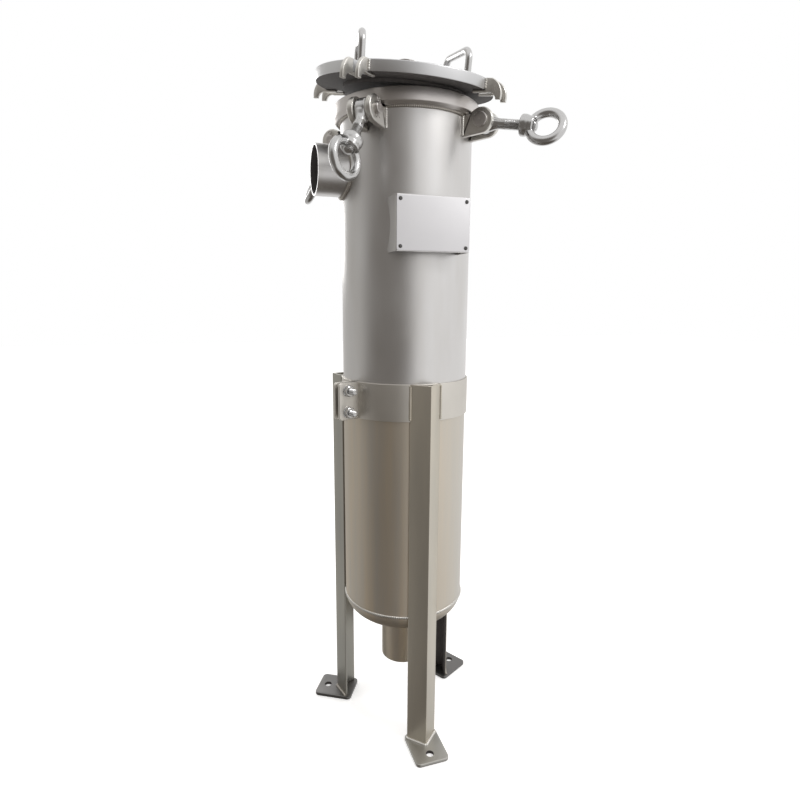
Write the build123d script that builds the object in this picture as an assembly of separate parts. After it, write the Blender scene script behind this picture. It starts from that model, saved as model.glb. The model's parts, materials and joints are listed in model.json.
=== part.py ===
from build123d import *
import os
from math import cos, radians, sin, sqrt

# Bag filter housing with a lift-off lid held by four swing bolts.
# Frame: millimetres, origin on the vessel axis at floor level, +Z up.
# The front, with the nameplate and one leg, faces -Y. The inlet points along -X.

# ---- vessel ----
SHELL_OD = 219.0
SHELL_WALL = 3.0
SHELL_R = SHELL_OD / 2
SHELL_ID_R = SHELL_R - SHELL_WALL
GIRTH_Z = 242.0                     # where the shell meets the dished bottom
HEAD_DEPTH = SHELL_OD / 4           # a 2:1 semi-elliptical head
FLANGE_Z = 1072.5                   # underside of the top flange
FLANGE_THICK = 24.0
FLANGE_TOP = FLANGE_Z + FLANGE_THICK
FLANGE_R = 120.0
FLANGE_BORE_R = 102.0               # wide enough to lift the basket rim through
FLANGE_BEVEL = 5.0
ORING_R = 110.0
ORING_D = 5.3
ORING_GROOVE = 4.0

# ---- pipe connections ----
PIPE_R = 35.0
PIPE_WALL = 3.0
PIPE_BORE_R = PIPE_R - PIPE_WALL
INLET_Z = 994.0
INLET_END = 156.0                   # distance of the inlet mouth from the axis
OUTLET_END_Z = 107.0
ROOT_WELD = 5.0                     # leg of the fillet weld about each pipe

# ---- basket and bag inside ----
SEAT_Z = 946.0                      # ledge below the inlet that carries the basket
SEAT_THICK = 6.0
BASKET_R = 88.0
BASKET_WALL = 2.0
BASKET_BOTTOM = 235.0
RIM_R = 100.0
RIM_THICK = 4.0
RIM_TOP = SEAT_Z + RIM_THICK
FLOOR_DRAIN_R = 8.0
FLOOR_DRAIN_PCR = 53.32
FLOOR_CENTRE_R = 12.0
SLOT_ROWS = 7
SLOTS_AROUND = 8
SLOT_LONG = 72.0
SLOT_WIDE = 22.0
BAG_R = 84.0
BAG_WALL = 1.5
BAG_DOME = 24.0
BAG_ABOVE_FLOOR = 6.0
COLLAR_HALF = 5.0                   # the collar spreads this far each side of the bag
COLLAR_HIGH = 7.0
BAIL_WIRE = 8.0
BAIL_TOP = 1117.0
BAIL_AZ = 25.0                      # keeps the bail's legs clear of the inlet

# ---- lid, resting ajar: low at the front, propped on the basket bail ----
LID_R = 144.0
LID_THICK = 16.0
LID_EDGE = 1.5
SPIGOT_R = 100.0
SPIGOT_DEEP = 5.0
LID_TILT = 10.2                     # degrees
LID_LOW_AZ = -82.3                  # direction of the low side, from +X towards +Y
LID_CENTRE = (-7.6, -13.3, 1122.2)  # centre of the lower face
HANDLES = {"left": (-78.0, -10.0), "right": (86.0, 0.0)}    # distance from the vent, skew
HANDLE_SPAN = 98.0
HANDLE_HIGH = 54.0
HANDLE_ROD = 11.0
HANDLE_BEND = 16.0
SOCKET_R = 18.0
SOCKET_HIGH = 15.0
SOCKET_BORE_R = 11.0
VENT_HOLE_R = 8.0
PLUG_HEX = 26.0
PLUG_HEAD = 13.0
PLUG_EDGE = 2.2
PLUG_CLEAR = 0.15
PLUG_LIFT = 0.2                     # the head stands this far off the socket's rim

# ---- swing bolt closures ----
CLOSURES = {                        # azimuth, hang angle, pin to ring centre, ring turn
    "front_left": (-135.0, 35.0, 95.0, -10.0),
    "front_right": (-45.0, 80.0, 98.0, 25.0),
    "back_left": (135.0, 36.0, 90.0, -50.0),
    "back_right": (45.0, 30.0, 95.0, 0.0),
}
PIN_R = 137.0                       # radius of the hinge pins from the vessel axis
PIN_Z = 1062.0
PIN_D = 16.0
PIN_HEAD = 4.0
PIN_TAIL = 6.0                      # the pin stands this far past the cheek for its cotter
COTTER_R = 1.4
LUG_PLATE = 10.0
LUG_GAP = 20.0
LUG_END_R = 19.0
LUG_FOOT_Z = 1040.0
LUG_EDGE = 1.2
BOLT_D = 16.0
BOLT_EYE_R = 16.0
BOLT_EYE_WIDE = 18.0
BOLT_EYE_ROUND = 4.0
BOLT_TIP_SHORT = 14.0               # the thread stops this far short of the ring centre
RING_R = 24.5                       # centre line radius of the eye nut's ring
RING_WIRE = 14.0
NUT_BASE = 38.0                     # ring centre to the nut's bearing face
NUT_BASE_R = 16.0
NUT_RIM = 7.0                       # straight part of the collar under its face
NUT_WAIST_R = 14.6
NUT_NECK_R = 13.6
TURN_CLEAR = 0.2                    # radial gap of the bolt in its nut and on its pin
EAR_PLATE = 6.0
EAR_GAP = 19.0
EAR_ROOT_R = 121.0
EAR_TIP_R = 169.0
EAR_DROP = 13.0                     # how far the hooked tips hang below the lid
EAR_UNDER = 4.0                     # depth of the strip welded under the lid
EAR_NOSE = 8.0

# ---- legs and clamp band ----
BAND_Z = 592.0
BAND_HIGH = 62.0
BAND_THICK = 3.0
BAND_R = SHELL_R + BAND_THICK
BAND_SPLIT_AZ = -156.0
BAND_SPLIT_GAP = 8.0
BAND_EAR_LONG = 38.0
BAND_EAR_THICK = 5.0
BAND_EAR_CORNER = 6.0
CLAMP_BOLT_D = 10.0
CLAMP_HEX = 17.0
CLAMP_HEAD = 6.5
CLAMP_NUT = 8.0
CLAMP_TAIL = 22.0                   # bolt length past the far ear
CLAMP_R = BAND_R + 0.55 * BAND_EAR_LONG
CLAMP_BOLT_RISE = 18.0              # bolts sit this far above and below the band's middle
LEG_AZIMUTHS = {"front": -90.0, "back_right": 30.0, "back_left": 150.0}
LEG_SIDE = 38.0
LEG_THICK = 4.0
LEG_ROOT = 4.0
LEG_NOSE = 1.5
FOOT_WIDE = 60.0
FOOT_THICK = 6.0
FOOT_CORNER = 8.0
FOOT_EDGE = 0.8
FOOT_BEAD = 4.0
FOOT_INNER = 100.0
FOOT_OUTER = 174.0
FOOT_HOLE_R = 7.0
FOOT_HOLE_PCR = 155.5

# ---- nameplate ----
PLATE_WIDE = 120.0
PLATE_HIGH = 82.0
PLATE_Z = 901.5
PLATE_Y = -135.0
BRACKET_SHEET = 2.0
BRACKET_BEND = 2.5
BRACKET_SCALLOP = 0.62              # how deep the side flanges are cut away
PLATE_SHEET = 1.5
RIVET_R = 3.0
RIVET_HIGH = 1.6
RIVET_INSET = 7.0

LEG_REACH = LEG_SIDE / sqrt(2)      # leg toe offset across and behind the ridge
LEG_RIDGE = sqrt(BAND_R**2 - LEG_REACH**2) + LEG_REACH


def turned(shape, azimuth):
    """Turn a shape made along +X to an azimuth about the vessel axis."""
    return shape.rotate(Axis.Z, azimuth)


def revolved(*edges):
    """Revolve a closed outline, drawn as radius and height, about the vessel axis."""
    return revolve(Plane.XZ * make_face(list(edges)), Axis.Z, 360)


def tube(radius, wall, length):
    """A tube standing on the local origin."""
    low = (Align.CENTER, Align.CENTER, Align.MIN)
    return Cylinder(radius, length, align=low) - Cylinder(radius - wall, length, align=low)


def rod(radius, length):
    return Cylinder(radius, length, align=(Align.CENTER, Align.CENTER, Align.MIN))


def save(name, shape):
    export_step(shape, f"parts/{name}.step")


# ---- vessel pieces ----
def filter_shell():
    shell = Pos(0, 0, GIRTH_Z) * tube(SHELL_R, SHELL_WALL, FLANGE_Z - GIRTH_Z)
    hole = Pos(0, 0, INLET_Z) * Rot(0, -90, 0) * rod(PIPE_BORE_R, SHELL_OD)
    return shell - hole


def dish(radius, depth):
    """The solid lower half of an ellipsoid, closed at the girth line."""
    return revolved(
        EllipticalCenterArc((0, GIRTH_Z), radius, depth, 270, arc_size=90),
        Line((radius, GIRTH_Z), (0, GIRTH_Z)),
        Line((0, GIRTH_Z), (0, GIRTH_Z - depth)),
    )


def bottom_head():
    head = dish(SHELL_R, HEAD_DEPTH) - dish(SHELL_ID_R, HEAD_DEPTH - SHELL_WALL)
    return head - Pos(0, 0, OUTLET_END_Z) * rod(PIPE_R, HEAD_DEPTH * 2)


def root_weld(end):
    """A fillet weld about a pipe on +Z: a collar, then a cone down to the pipe at the end."""
    wide = PIPE_R + ROOT_WELD
    collar = Pos(0, 0, end - 4 * ROOT_WELD) * tube(wide, wide - PIPE_BORE_R, 3 * ROOT_WELD)
    cone = Pos(0, 0, end - ROOT_WELD / 2) * Cone(wide, PIPE_R, ROOT_WELD)
    return collar + cone - Pos(0, 0, end - ROOT_WELD) * rod(PIPE_BORE_R, ROOT_WELD)


def outlet_pipe():
    meets = GIRTH_Z - HEAD_DEPTH * sqrt(1 - (PIPE_R / SHELL_R) ** 2)
    overlap = 4.0
    pipe = Pos(0, 0, OUTLET_END_Z) * tube(PIPE_R, PIPE_WALL, meets + overlap - OUTLET_END_Z)
    weld_end = meets - 2 * ROOT_WELD
    weld = Pos(0, 0, 2 * weld_end) * root_weld(weld_end).rotate(Axis.X, 180)
    return pipe + (weld - dish(SHELL_R, HEAD_DEPTH))


def inlet_nozzle():
    pipe = tube(PIPE_R, PIPE_WALL, INLET_END) + root_weld(SHELL_R + ROOT_WELD)
    return Pos(0, 0, INLET_Z) * Rot(0, -90, 0) * pipe - Cylinder(SHELL_R, 4 * FLANGE_TOP)


def top_flange():
    groove_in = ORING_R - ORING_D / 2
    groove_out = ORING_R + ORING_D / 2
    groove_z = FLANGE_TOP - ORING_GROOVE
    points = [
        (FLANGE_BORE_R, FLANGE_Z), (FLANGE_R - FLANGE_BEVEL, FLANGE_Z),
        (FLANGE_R, FLANGE_Z + FLANGE_BEVEL), (FLANGE_R, FLANGE_TOP - 1),
        (FLANGE_R - 1, FLANGE_TOP), (groove_out, FLANGE_TOP), (groove_out, groove_z),
        (groove_in, groove_z), (groove_in, FLANGE_TOP), (FLANGE_BORE_R, FLANGE_TOP),
    ]
    return revolved(*Polyline(*points, close=True).edges())


def o_ring():
    return Pos(0, 0, FLANGE_TOP - ORING_GROOVE + ORING_D / 2) * Torus(ORING_R, ORING_D / 2)


# ---- what the vessel holds ----
def basket_seat():
    """The ledge ring welded inside the shell just below the inlet."""
    return Pos(0, 0, SEAT_Z - SEAT_THICK) * tube(
        SHELL_ID_R, SHELL_ID_R - BASKET_R - 2, SEAT_THICK)


def basket_rim():
    return Pos(0, 0, SEAT_Z) * tube(RIM_R, RIM_R - BASKET_R, RIM_THICK)


def support_basket():
    """The slotted wall; each row of slots is turned half a step from the last."""
    wall = Pos(0, 0, BASKET_BOTTOM) * tube(BASKET_R, BASKET_WALL, RIM_TOP - BASKET_BOTTOM)
    pitch = (SEAT_Z - BASKET_BOTTOM) / (SLOT_ROWS + 0.4)
    slot = Rot(0, 90, 0) * extrude(SlotOverall(SLOT_LONG, SLOT_WIDE), BASKET_R + 5)
    slots = []
    for row in range(SLOT_ROWS):
        height = BASKET_BOTTOM + pitch * (row + 0.7)
        for step in range(SLOTS_AROUND):
            azimuth = (step + 0.5 * (row % 2)) * 360 / SLOTS_AROUND
            slots.append(Pos(0, 0, height) * turned(slot, azimuth))
    return wall - slots


def basket_floor():
    """The drilled plate inside the basket's lower end."""
    drain = Pos(FLOOR_DRAIN_PCR, 0, 0) * Cylinder(FLOOR_DRAIN_R, 4 * BASKET_WALL)
    drains = [turned(drain, step * 360 / SLOTS_AROUND) for step in range(SLOTS_AROUND)]
    centre = Cylinder(FLOOR_CENTRE_R, 4 * BASKET_WALL)
    disc = rod(BASKET_R - BASKET_WALL, BASKET_WALL)
    return Pos(0, 0, BASKET_BOTTOM) * (disc - drains - centre)


def basket_bail():
    """A round bucket handle on the rim, which the closing lid presses down."""
    foot = BASKET_R + 7
    shoulder = BAIL_TOP - BAIL_WIRE / 2 - foot
    left = Line((-foot, 0, RIM_TOP), (-foot, 0, shoulder))
    arch = ThreePointArc((-foot, 0, shoulder), (0, 0, shoulder + foot), (foot, 0, shoulder))
    right = Line((foot, 0, shoulder), (foot, 0, RIM_TOP))
    path = Wire([left, arch, right])
    bail = sweep(Plane(origin=path @ 0, z_dir=path % 0) * Circle(BAIL_WIRE / 2), path=path)
    return turned(bail, BAIL_AZ)


def filter_bag():
    bottom = BASKET_BOTTOM + BAG_ABOVE_FLOOR
    return sock(BAG_R, BAG_DOME, bottom, RIM_TOP) - sock(
        BAG_R - BAG_WALL, BAG_DOME - BAG_WALL, bottom + BAG_WALL, RIM_TOP + BAG_WALL)


def sock(radius, dome, bottom, top):
    """A solid cylinder with a rounded lower end."""
    return revolved(
        EllipticalCenterArc((0, bottom + dome), radius, dome, 270, arc_size=90),
        Line((radius, bottom + dome), (radius, top)), Line((radius, top), (0, top)),
        Line((0, top), (0, bottom)),
    )


def bag_ring():
    """The moulded collar that seats the bag on the basket rim."""
    soft = 2.0
    inner = BAG_R - COLLAR_HALF
    outer = BAG_R + COLLAR_HALF
    top = RIM_TOP + COLLAR_HIGH
    points = [
        (inner, RIM_TOP), (outer, RIM_TOP), (outer, top - soft), (outer - soft, top),
        (inner + soft, top), (inner, top - soft),
    ]
    return revolved(*Polyline(*points, close=True).edges())


# ---- lid pieces, drawn flat about the centre of the lid's lower face ----
def laid(shape):
    """Place a piece drawn on the flat lid onto the resting, tilted lid."""
    low = radians(LID_LOW_AZ)
    hinge_line = Axis((0, 0, 0), (-sin(low), cos(low), 0))
    return Pos(*LID_CENTRE) * shape.rotate(hinge_line, LID_TILT)


def lid_plate():
    disc = fillet(rod(LID_R, LID_THICK).edges(), LID_EDGE)
    spigot = Pos(0, 0, -SPIGOT_DEEP) * rod(SPIGOT_R, SPIGOT_DEEP)
    notch = Pos(LID_R, 0, 0) * Box(2 * (LID_R - EAR_ROOT_R - EAR_GAP / 2), EAR_GAP, 3 * LID_THICK)
    notch += Pos(EAR_ROOT_R + EAR_GAP / 2, 0, 0) * Cylinder(EAR_GAP / 2, 3 * LID_THICK)
    notches = [turned(notch, azimuth) for azimuth, *_ in CLOSURES.values()]
    vent = Cylinder(VENT_HOLE_R, 4 * LID_THICK)
    return disc + spigot - notches - vent


def lid_ear(azimuth):
    """Two hooked cheeks beside one notch, carrying the bolt's nut past the rim."""
    root = EAR_ROOT_R + 3
    rim = LID_R - 0.5
    heel = LID_R + 1
    tip = EAR_TIP_R
    nose = tip - EAR_NOSE
    brow = tip - 2 * EAR_NOSE
    under = Polyline((root, 0), (root, -EAR_UNDER), (heel, -EAR_UNDER)).edges()
    hook = ThreePointArc((heel, -EAR_UNDER), (tip - 12, -EAR_UNDER - 2), (nose, -EAR_DROP))
    end = Line((nose, -EAR_DROP), (tip, -EAR_DROP))
    back = ThreePointArc((tip, -EAR_DROP), (tip - 4, LID_THICK - 9), (brow, LID_THICK))
    top = Polyline((brow, LID_THICK), (rim, LID_THICK), (rim, 0), (root, 0)).edges()
    cheek = extrude(Plane.XZ * make_face([*under, hook, end, back, *top]), EAR_PLATE)
    near = Pos(0, -EAR_GAP / 2, 0) * cheek
    far = Pos(0, EAR_GAP / 2 + EAR_PLATE, 0) * cheek
    return laid(turned(near + far, azimuth))


def lid_handle(x, skew):
    """A rod bent to a bridge that stands across X, turned by its skew."""
    half = HANDLE_SPAN / 2
    crown = LID_THICK + HANDLE_HIGH - HANDLE_ROD / 2
    corners = [(0, -half, LID_THICK), (0, -half, crown), (0, half, crown), (0, half, LID_THICK)]
    path = FilletPolyline(*corners, radius=HANDLE_BEND)
    bar = sweep(Plane(origin=path @ 0, z_dir=path % 0) * Circle(HANDLE_ROD / 2), path=path)
    return laid(Pos(x, 0, 0) * Rot(0, 0, skew) * bar)


def vent_socket():
    socket = rod(SOCKET_R, SOCKET_HIGH) - rod(SOCKET_BORE_R, SOCKET_HIGH)
    socket = chamfer(socket.edges().group_by(Axis.Z)[-1].sort_by(SortBy.RADIUS)[-1], 2)
    return laid(Pos(0, 0, LID_THICK) * socket)


def vent_plug():
    seat = SOCKET_HIGH + PLUG_LIFT
    tail = 4.0
    shank = Pos(0, 0, tail) * rod(SOCKET_BORE_R - PLUG_CLEAR, seat - tail)
    head = extrude(RegularPolygon(PLUG_HEX / 2, 6, major_radius=False), PLUG_HEAD)
    crown = rod(PLUG_HEX / sqrt(3), PLUG_HEAD)
    head = head & chamfer(crown.edges().group_by(Axis.Z)[-1], PLUG_EDGE)
    return laid(Pos(0, 0, LID_THICK) * (shank + Pos(0, 0, seat) * head))


# ---- closures, drawn along +X and turned to their azimuth ----
def lug(azimuth):
    """Two cheeks welded under the flange, rounded about the hinge pin."""
    end = Pos(PIN_R, PIN_Z) * Circle(LUG_END_R)
    foot = Pos(SHELL_R - 1, (FLANGE_Z + LUG_FOOT_Z) / 2) * Rectangle(4, FLANGE_Z - LUG_FOOT_Z)
    cheek = extrude(Plane.XZ * make_hull((end + foot).edges()), LUG_PLATE)
    cheek = chamfer(cheek.edges().filter_by(Axis.Y, reverse=True), LUG_EDGE)
    pair = Pos(0, -LUG_GAP / 2, 0) * cheek + Pos(0, LUG_GAP / 2 + LUG_PLATE, 0) * cheek
    bore = Pos(PIN_R, 0, PIN_Z) * Rot(90, 0, 0) * Cylinder(PIN_D / 2, 4 * LUG_GAP)
    flange_room = Pos(0, 0, FLANGE_Z) * rod(FLANGE_R, FLANGE_THICK)
    shell_room = Cylinder(SHELL_R, 3 * FLANGE_TOP)
    return turned(pair - bore - flange_room - shell_room, azimuth)


def lug_pin(azimuth):
    """A headed pin held by a split cotter."""
    reach = LUG_GAP / 2 + LUG_PLATE
    pin = Pos(0, -reach, 0) * Rot(-90, 0, 0) * rod(PIN_D / 2, 2 * reach + PIN_TAIL)
    head = Pos(0, -reach - PIN_HEAD, 0) * Rot(-90, 0, 0) * rod(PIN_D / 2 + 3, PIN_HEAD)
    cotter = Pos(0, reach + PIN_TAIL / 2, 0) * Cylinder(COTTER_R, PIN_D + 10)
    return turned(Pos(PIN_R, 0, PIN_Z) * (pin + head + cotter), azimuth)


def hung(shape, azimuth, hang):
    """Swing a piece drawn along -Z from the pin out by the hang angle."""
    return turned(Pos(PIN_R, 0, PIN_Z) * shape.rotate(Axis.Y, -hang), azimuth)


def swing_bolt(azimuth, hang, length):
    """An eye bolt hanging from its pin, its shank ending inside the ring nut."""
    lead_in = 1.5
    eye = Rot(90, 0, 0) * Cylinder(BOLT_EYE_R, BOLT_EYE_WIDE)
    eye = fillet(eye.edges().filter_by(GeomType.CIRCLE), BOLT_EYE_ROUND)
    shank_end = length - BOLT_TIP_SHORT
    shank = rod(BOLT_D / 2, shank_end - BOLT_EYE_R / 2)
    shank = Pos(0, 0, -shank_end) * chamfer(shank.edges().group_by(Axis.Z)[0], lead_in)
    bore = Rot(90, 0, 0) * Cylinder(PIN_D / 2 + TURN_CLEAR, 2 * BOLT_EYE_WIDE)
    return hung(eye + shank - bore, azimuth, hang)


def eye_nut(azimuth, hang, length, ring_turn):
    """A cast ring nut: round collar, waisted neck and a ring in one plane."""
    face = NUT_BASE - length
    rim = face - NUT_RIM
    waist = rim - 4
    neck = RING_R - 1 - length
    buried = neck - 6
    outline = [
        Line((0, face), (NUT_BASE_R, face)),
        Line((NUT_BASE_R, face), (NUT_BASE_R, rim)),
        Spline(
            (NUT_BASE_R, rim), (NUT_WAIST_R, waist), (NUT_NECK_R, neck),
            tangents=((-0.6, -1), (-0.2, -1)),
        ),
        Line((NUT_NECK_R, neck), (NUT_NECK_R - 2.5, buried)),
        Line((NUT_NECK_R - 2.5, buried), (0, buried)),
        Line((0, buried), (0, face)),
    ]
    ring = Pos(0, 0, -length) * Rot(90, 0, 0) * Torus(RING_R, RING_WIRE / 2)
    bore = Pos(0, 0, -length) * rod(BOLT_D / 2 + TURN_CLEAR, 2 * NUT_BASE)
    nut = revolved(*outline) + ring - bore
    return hung(nut.rotate(Axis.Z, ring_turn), azimuth, hang)


# ---- legs, band and feet ----
def clamp_band():
    band = Pos(0, 0, BAND_Z) * tube(BAND_R, BAND_THICK, BAND_HIGH)
    half_gap = BAND_SPLIT_GAP / 2
    low = (Align.MIN, Align.MIN, Align.MIN)
    ear = Pos(BAND_R - 2, half_gap, BAND_Z) * Box(
        BAND_EAR_LONG + 2, BAND_EAR_THICK, BAND_HIGH, align=low)
    outer_corners = ear.edges().filter_by(Axis.Y).group_by(Axis.X)[-1]
    ear = fillet(outer_corners, BAND_EAR_CORNER)
    ears = ear + mirror(ear, Plane.XZ)
    split = Pos(SHELL_R, 0, BAND_Z + BAND_HIGH / 2) * Box(
        4 * BAND_THICK, BAND_SPLIT_GAP, 2 * BAND_HIGH)
    hole = Rot(90, 0, 0) * Cylinder(CLAMP_BOLT_D / 2, BAND_HIGH)
    ears -= [spot * hole for spot in clamp_spots()]
    return turned(band - split + ears, BAND_SPLIT_AZ)


def clamp_spots():
    """The two places where a bolt crosses the ears, before they are turned to the split."""
    middle = BAND_Z + BAND_HIGH / 2
    return [Pos(CLAMP_R, 0, middle + rise) for rise in (-CLAMP_BOLT_RISE, CLAMP_BOLT_RISE)]


def clamp_hardware(make):
    """Repeat one fastener piece at the two bolt heights on the band ears."""
    return Compound(children=[turned(spot * make(), BAND_SPLIT_AZ) for spot in clamp_spots()])


def clamp_hex(height):
    """A hexagon standing along +Y on the outer face of an ear."""
    return extrude(Plane.XZ * RegularPolygon(CLAMP_HEX / 2, 6, major_radius=False), -height)


def clamp_bolt():
    outer = BAND_SPLIT_GAP / 2 + BAND_EAR_THICK
    shank = Rot(-90, 0, 0) * rod(CLAMP_BOLT_D / 2, 2 * outer + CLAMP_TAIL)
    return Pos(0, -outer, 0) * (clamp_hex(-CLAMP_HEAD) + shank)


def clamp_nut():
    outer = BAND_SPLIT_GAP / 2 + BAND_EAR_THICK
    bore = Rot(90, 0, 0) * Cylinder(CLAMP_BOLT_D / 2, 4 * CLAMP_NUT)
    return Pos(0, outer, 0) * (clamp_hex(CLAMP_NUT) - bore)


def leg(azimuth):
    """An angle iron with its ridge outward and both toes on the band."""
    outer = Rectangle(LEG_SIDE, LEG_SIDE, align=(Align.MAX, Align.MAX))
    hollow = Pos(-LEG_THICK, -LEG_THICK) * Rectangle(
        LEG_SIDE, LEG_SIDE, align=(Align.MAX, Align.MAX))
    profile = outer - hollow
    profile = fillet(profile.vertices().sort_by_distance((-LEG_THICK, -LEG_THICK))[0], LEG_ROOT)
    profile = fillet(profile.vertices().sort_by_distance((0, 0))[0], LEG_NOSE)
    bar = extrude(Rot(0, 0, -45) * profile, BAND_Z + BAND_HIGH - FOOT_THICK)
    bar = Pos(LEG_RIDGE, 0, FOOT_THICK) * bar
    return turned(bar - Cylinder(BAND_R, 3 * FLANGE_TOP), azimuth)


def foot_plate(azimuth):
    long = FOOT_OUTER - FOOT_INNER
    middle = (FOOT_OUTER + FOOT_INNER) / 2
    plate = Pos(middle, 0) * RectangleRounded(long, FOOT_WIDE, FOOT_CORNER)
    plate -= Pos(FOOT_HOLE_PCR, 0) * Circle(FOOT_HOLE_R)
    solid = extrude(plate, FOOT_THICK)
    return turned(chamfer(solid.edges().group_by(Axis.Z)[-1], FOOT_EDGE), azimuth)


def foot_weld(azimuth):
    """The weld bead that runs along the outside of the leg on its foot plate."""
    ridge = (LEG_RIDGE, 0, FOOT_THICK)
    beads = []
    for side in (1, -1):
        run = Line(ridge, (LEG_RIDGE - LEG_REACH, side * LEG_REACH, FOOT_THICK))
        beads.append(sweep(Plane(origin=run @ 0, z_dir=run % 0) * Circle(FOOT_BEAD), path=run))
    inside = Pos(*ridge) * Rot(0, 0, -45) * Box(
        2 * LEG_SIDE, 2 * LEG_SIDE, 4 * FOOT_BEAD, align=(Align.MAX, Align.MAX, Align.CENTER))
    above = Pos(*ridge) * rod(2 * LEG_SIDE, 2 * FOOT_BEAD)
    return turned(((beads[0] + beads[1]) & above) - inside, azimuth)


# ---- nameplate on its stand-off bracket ----
def nameplate_bracket():
    """A bent sheet channel whose side flanges reach the shell and are scalloped."""
    front = PLATE_Y + PLATE_SHEET
    reach = -front - sqrt(SHELL_R**2 - (PLATE_WIDE / 2) ** 2) + 4
    low = (Align.CENTER, Align.MIN, Align.CENTER)
    channel = Box(PLATE_WIDE, reach, PLATE_HIGH, align=low)
    channel = fillet(channel.edges().filter_by(Axis.Z).group_by(Axis.Y)[0], BRACKET_BEND)
    inside = Pos(0, BRACKET_SHEET, 0) * Box(
        PLATE_WIDE - 2 * BRACKET_SHEET, reach, 2 * PLATE_HIGH, align=low)
    scallop_r = BRACKET_SCALLOP * PLATE_HIGH
    scallop = Pos(0, scallop_r + BRACKET_SCALLOP * reach, 0) * Rot(0, 90, 0) * Cylinder(
        scallop_r, 2 * PLATE_WIDE)
    channel = Pos(0, front, PLATE_Z) * (channel - inside - scallop)
    return channel - Cylinder(SHELL_R, 3 * FLANGE_TOP)


def nameplate():
    plate = RectangleRounded(PLATE_WIDE - 2, PLATE_HIGH - 2, 3)
    solid = extrude(Plane.XZ * plate, PLATE_SHEET)
    return Pos(0, PLATE_Y + PLATE_SHEET, PLATE_Z) * solid


def nameplate_rivets():
    spots = GridLocations(PLATE_WIDE - 2 * RIVET_INSET, PLATE_HIGH - 2 * RIVET_INSET, 2, 2)
    face = Pos(0, PLATE_Y, PLATE_Z) * Rot(90, 0, 0)
    seated = (Align.CENTER, Align.CENTER, Align.MIN)
    heads = [face * spot * Cylinder(RIVET_R, RIVET_HIGH, align=seated) for spot in spots]
    return Compound(children=heads)


os.makedirs("parts", exist_ok=True)

save("filter_shell", filter_shell())
save("bottom_head", bottom_head())
save("outlet_pipe", outlet_pipe())
save("inlet_nozzle", inlet_nozzle())
save("top_flange", top_flange())
save("o_ring", o_ring())
save("basket_seat", basket_seat())
save("basket_rim", basket_rim())
save("support_basket", support_basket())
save("basket_floor", basket_floor())
save("basket_bail", basket_bail())
save("filter_bag", filter_bag())
save("bag_ring", bag_ring())
save("lid_plate", laid(lid_plate()))
for side, (x, skew) in HANDLES.items():
    save(f"lid_handle_{side}", lid_handle(x, skew))
save("vent_socket", vent_socket())
save("vent_plug", vent_plug())
for place, (azimuth, hang, length, ring_turn) in CLOSURES.items():
    save(f"lid_ear_{place}", lid_ear(azimuth))
    save(f"lug_{place}", lug(azimuth))
    save(f"lug_pin_{place}", lug_pin(azimuth))
    save(f"swing_bolt_{place}", swing_bolt(azimuth, hang, length))
    save(f"eye_nut_{place}", eye_nut(azimuth, hang, length, ring_turn))
save("clamp_band", clamp_band())
save("clamp_bolts", clamp_hardware(clamp_bolt))
save("clamp_nuts", clamp_hardware(clamp_nut))
for place, azimuth in LEG_AZIMUTHS.items():
    save(f"leg_{place}", leg(azimuth))
    save(f"foot_plate_{place}", foot_plate(azimuth))
    save(f"foot_weld_{place}", foot_weld(azimuth))
save("nameplate_bracket", nameplate_bracket())
save("nameplate", nameplate())
save("nameplate_rivets", nameplate_rivets())
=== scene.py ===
# %% [markdown]
# # Dressing a bag filter housing
# The object is an upright steel vessel on three angle-iron legs. Its lid lies ajar on the top
# flange, and four swing bolts with ring nuts hang beside it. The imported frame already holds
# every part at its real place, so this notebook only adds surfaces and finishes to it.
# Each new surface is a numpy grid: two parameters in, one array of points out.

# %% Load the frame
import json

import bmesh
import bpy
import numpy as np
from mathutils import Euler, Matrix, Vector


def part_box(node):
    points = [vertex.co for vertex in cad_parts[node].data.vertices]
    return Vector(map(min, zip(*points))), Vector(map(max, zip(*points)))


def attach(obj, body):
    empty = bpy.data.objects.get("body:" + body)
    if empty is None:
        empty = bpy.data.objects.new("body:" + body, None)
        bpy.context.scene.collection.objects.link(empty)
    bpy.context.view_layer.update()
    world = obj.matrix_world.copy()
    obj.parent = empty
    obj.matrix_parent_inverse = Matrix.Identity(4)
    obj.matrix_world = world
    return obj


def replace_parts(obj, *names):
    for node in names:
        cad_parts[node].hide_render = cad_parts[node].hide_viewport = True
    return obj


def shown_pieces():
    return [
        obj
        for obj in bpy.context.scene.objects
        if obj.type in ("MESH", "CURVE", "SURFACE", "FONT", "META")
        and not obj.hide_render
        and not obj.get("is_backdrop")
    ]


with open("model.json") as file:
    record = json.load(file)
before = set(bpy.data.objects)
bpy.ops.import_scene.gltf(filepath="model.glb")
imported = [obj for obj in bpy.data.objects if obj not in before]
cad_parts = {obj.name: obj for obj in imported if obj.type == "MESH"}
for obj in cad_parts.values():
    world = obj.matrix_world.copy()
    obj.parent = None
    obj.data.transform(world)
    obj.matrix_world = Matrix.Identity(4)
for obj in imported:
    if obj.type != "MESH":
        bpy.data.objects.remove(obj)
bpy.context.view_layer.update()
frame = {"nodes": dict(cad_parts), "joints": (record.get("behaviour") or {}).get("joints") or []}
nodes = frame["nodes"]
joints = {joint["name"]: joint for joint in frame["joints"]}
TAU = 2 * np.pi
MM = 0.001

# %% [markdown]
# ## The camera
# The view is from the front left, two thirds of the way up, looking slightly down. A short lens
# stands close, which is why the legs converge. The turn is measured from the nameplate.

# %% Place the camera
VIEW_TURN = np.radians(18.1)
VIEW_PITCH = 0.181
VIEW_ROLL = 0.006
LENS_MM = 25.46
EYE_OFFSET = (-0.0076, -1.0119, 0.7938)     # sideways, away from the axis, up


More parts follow.
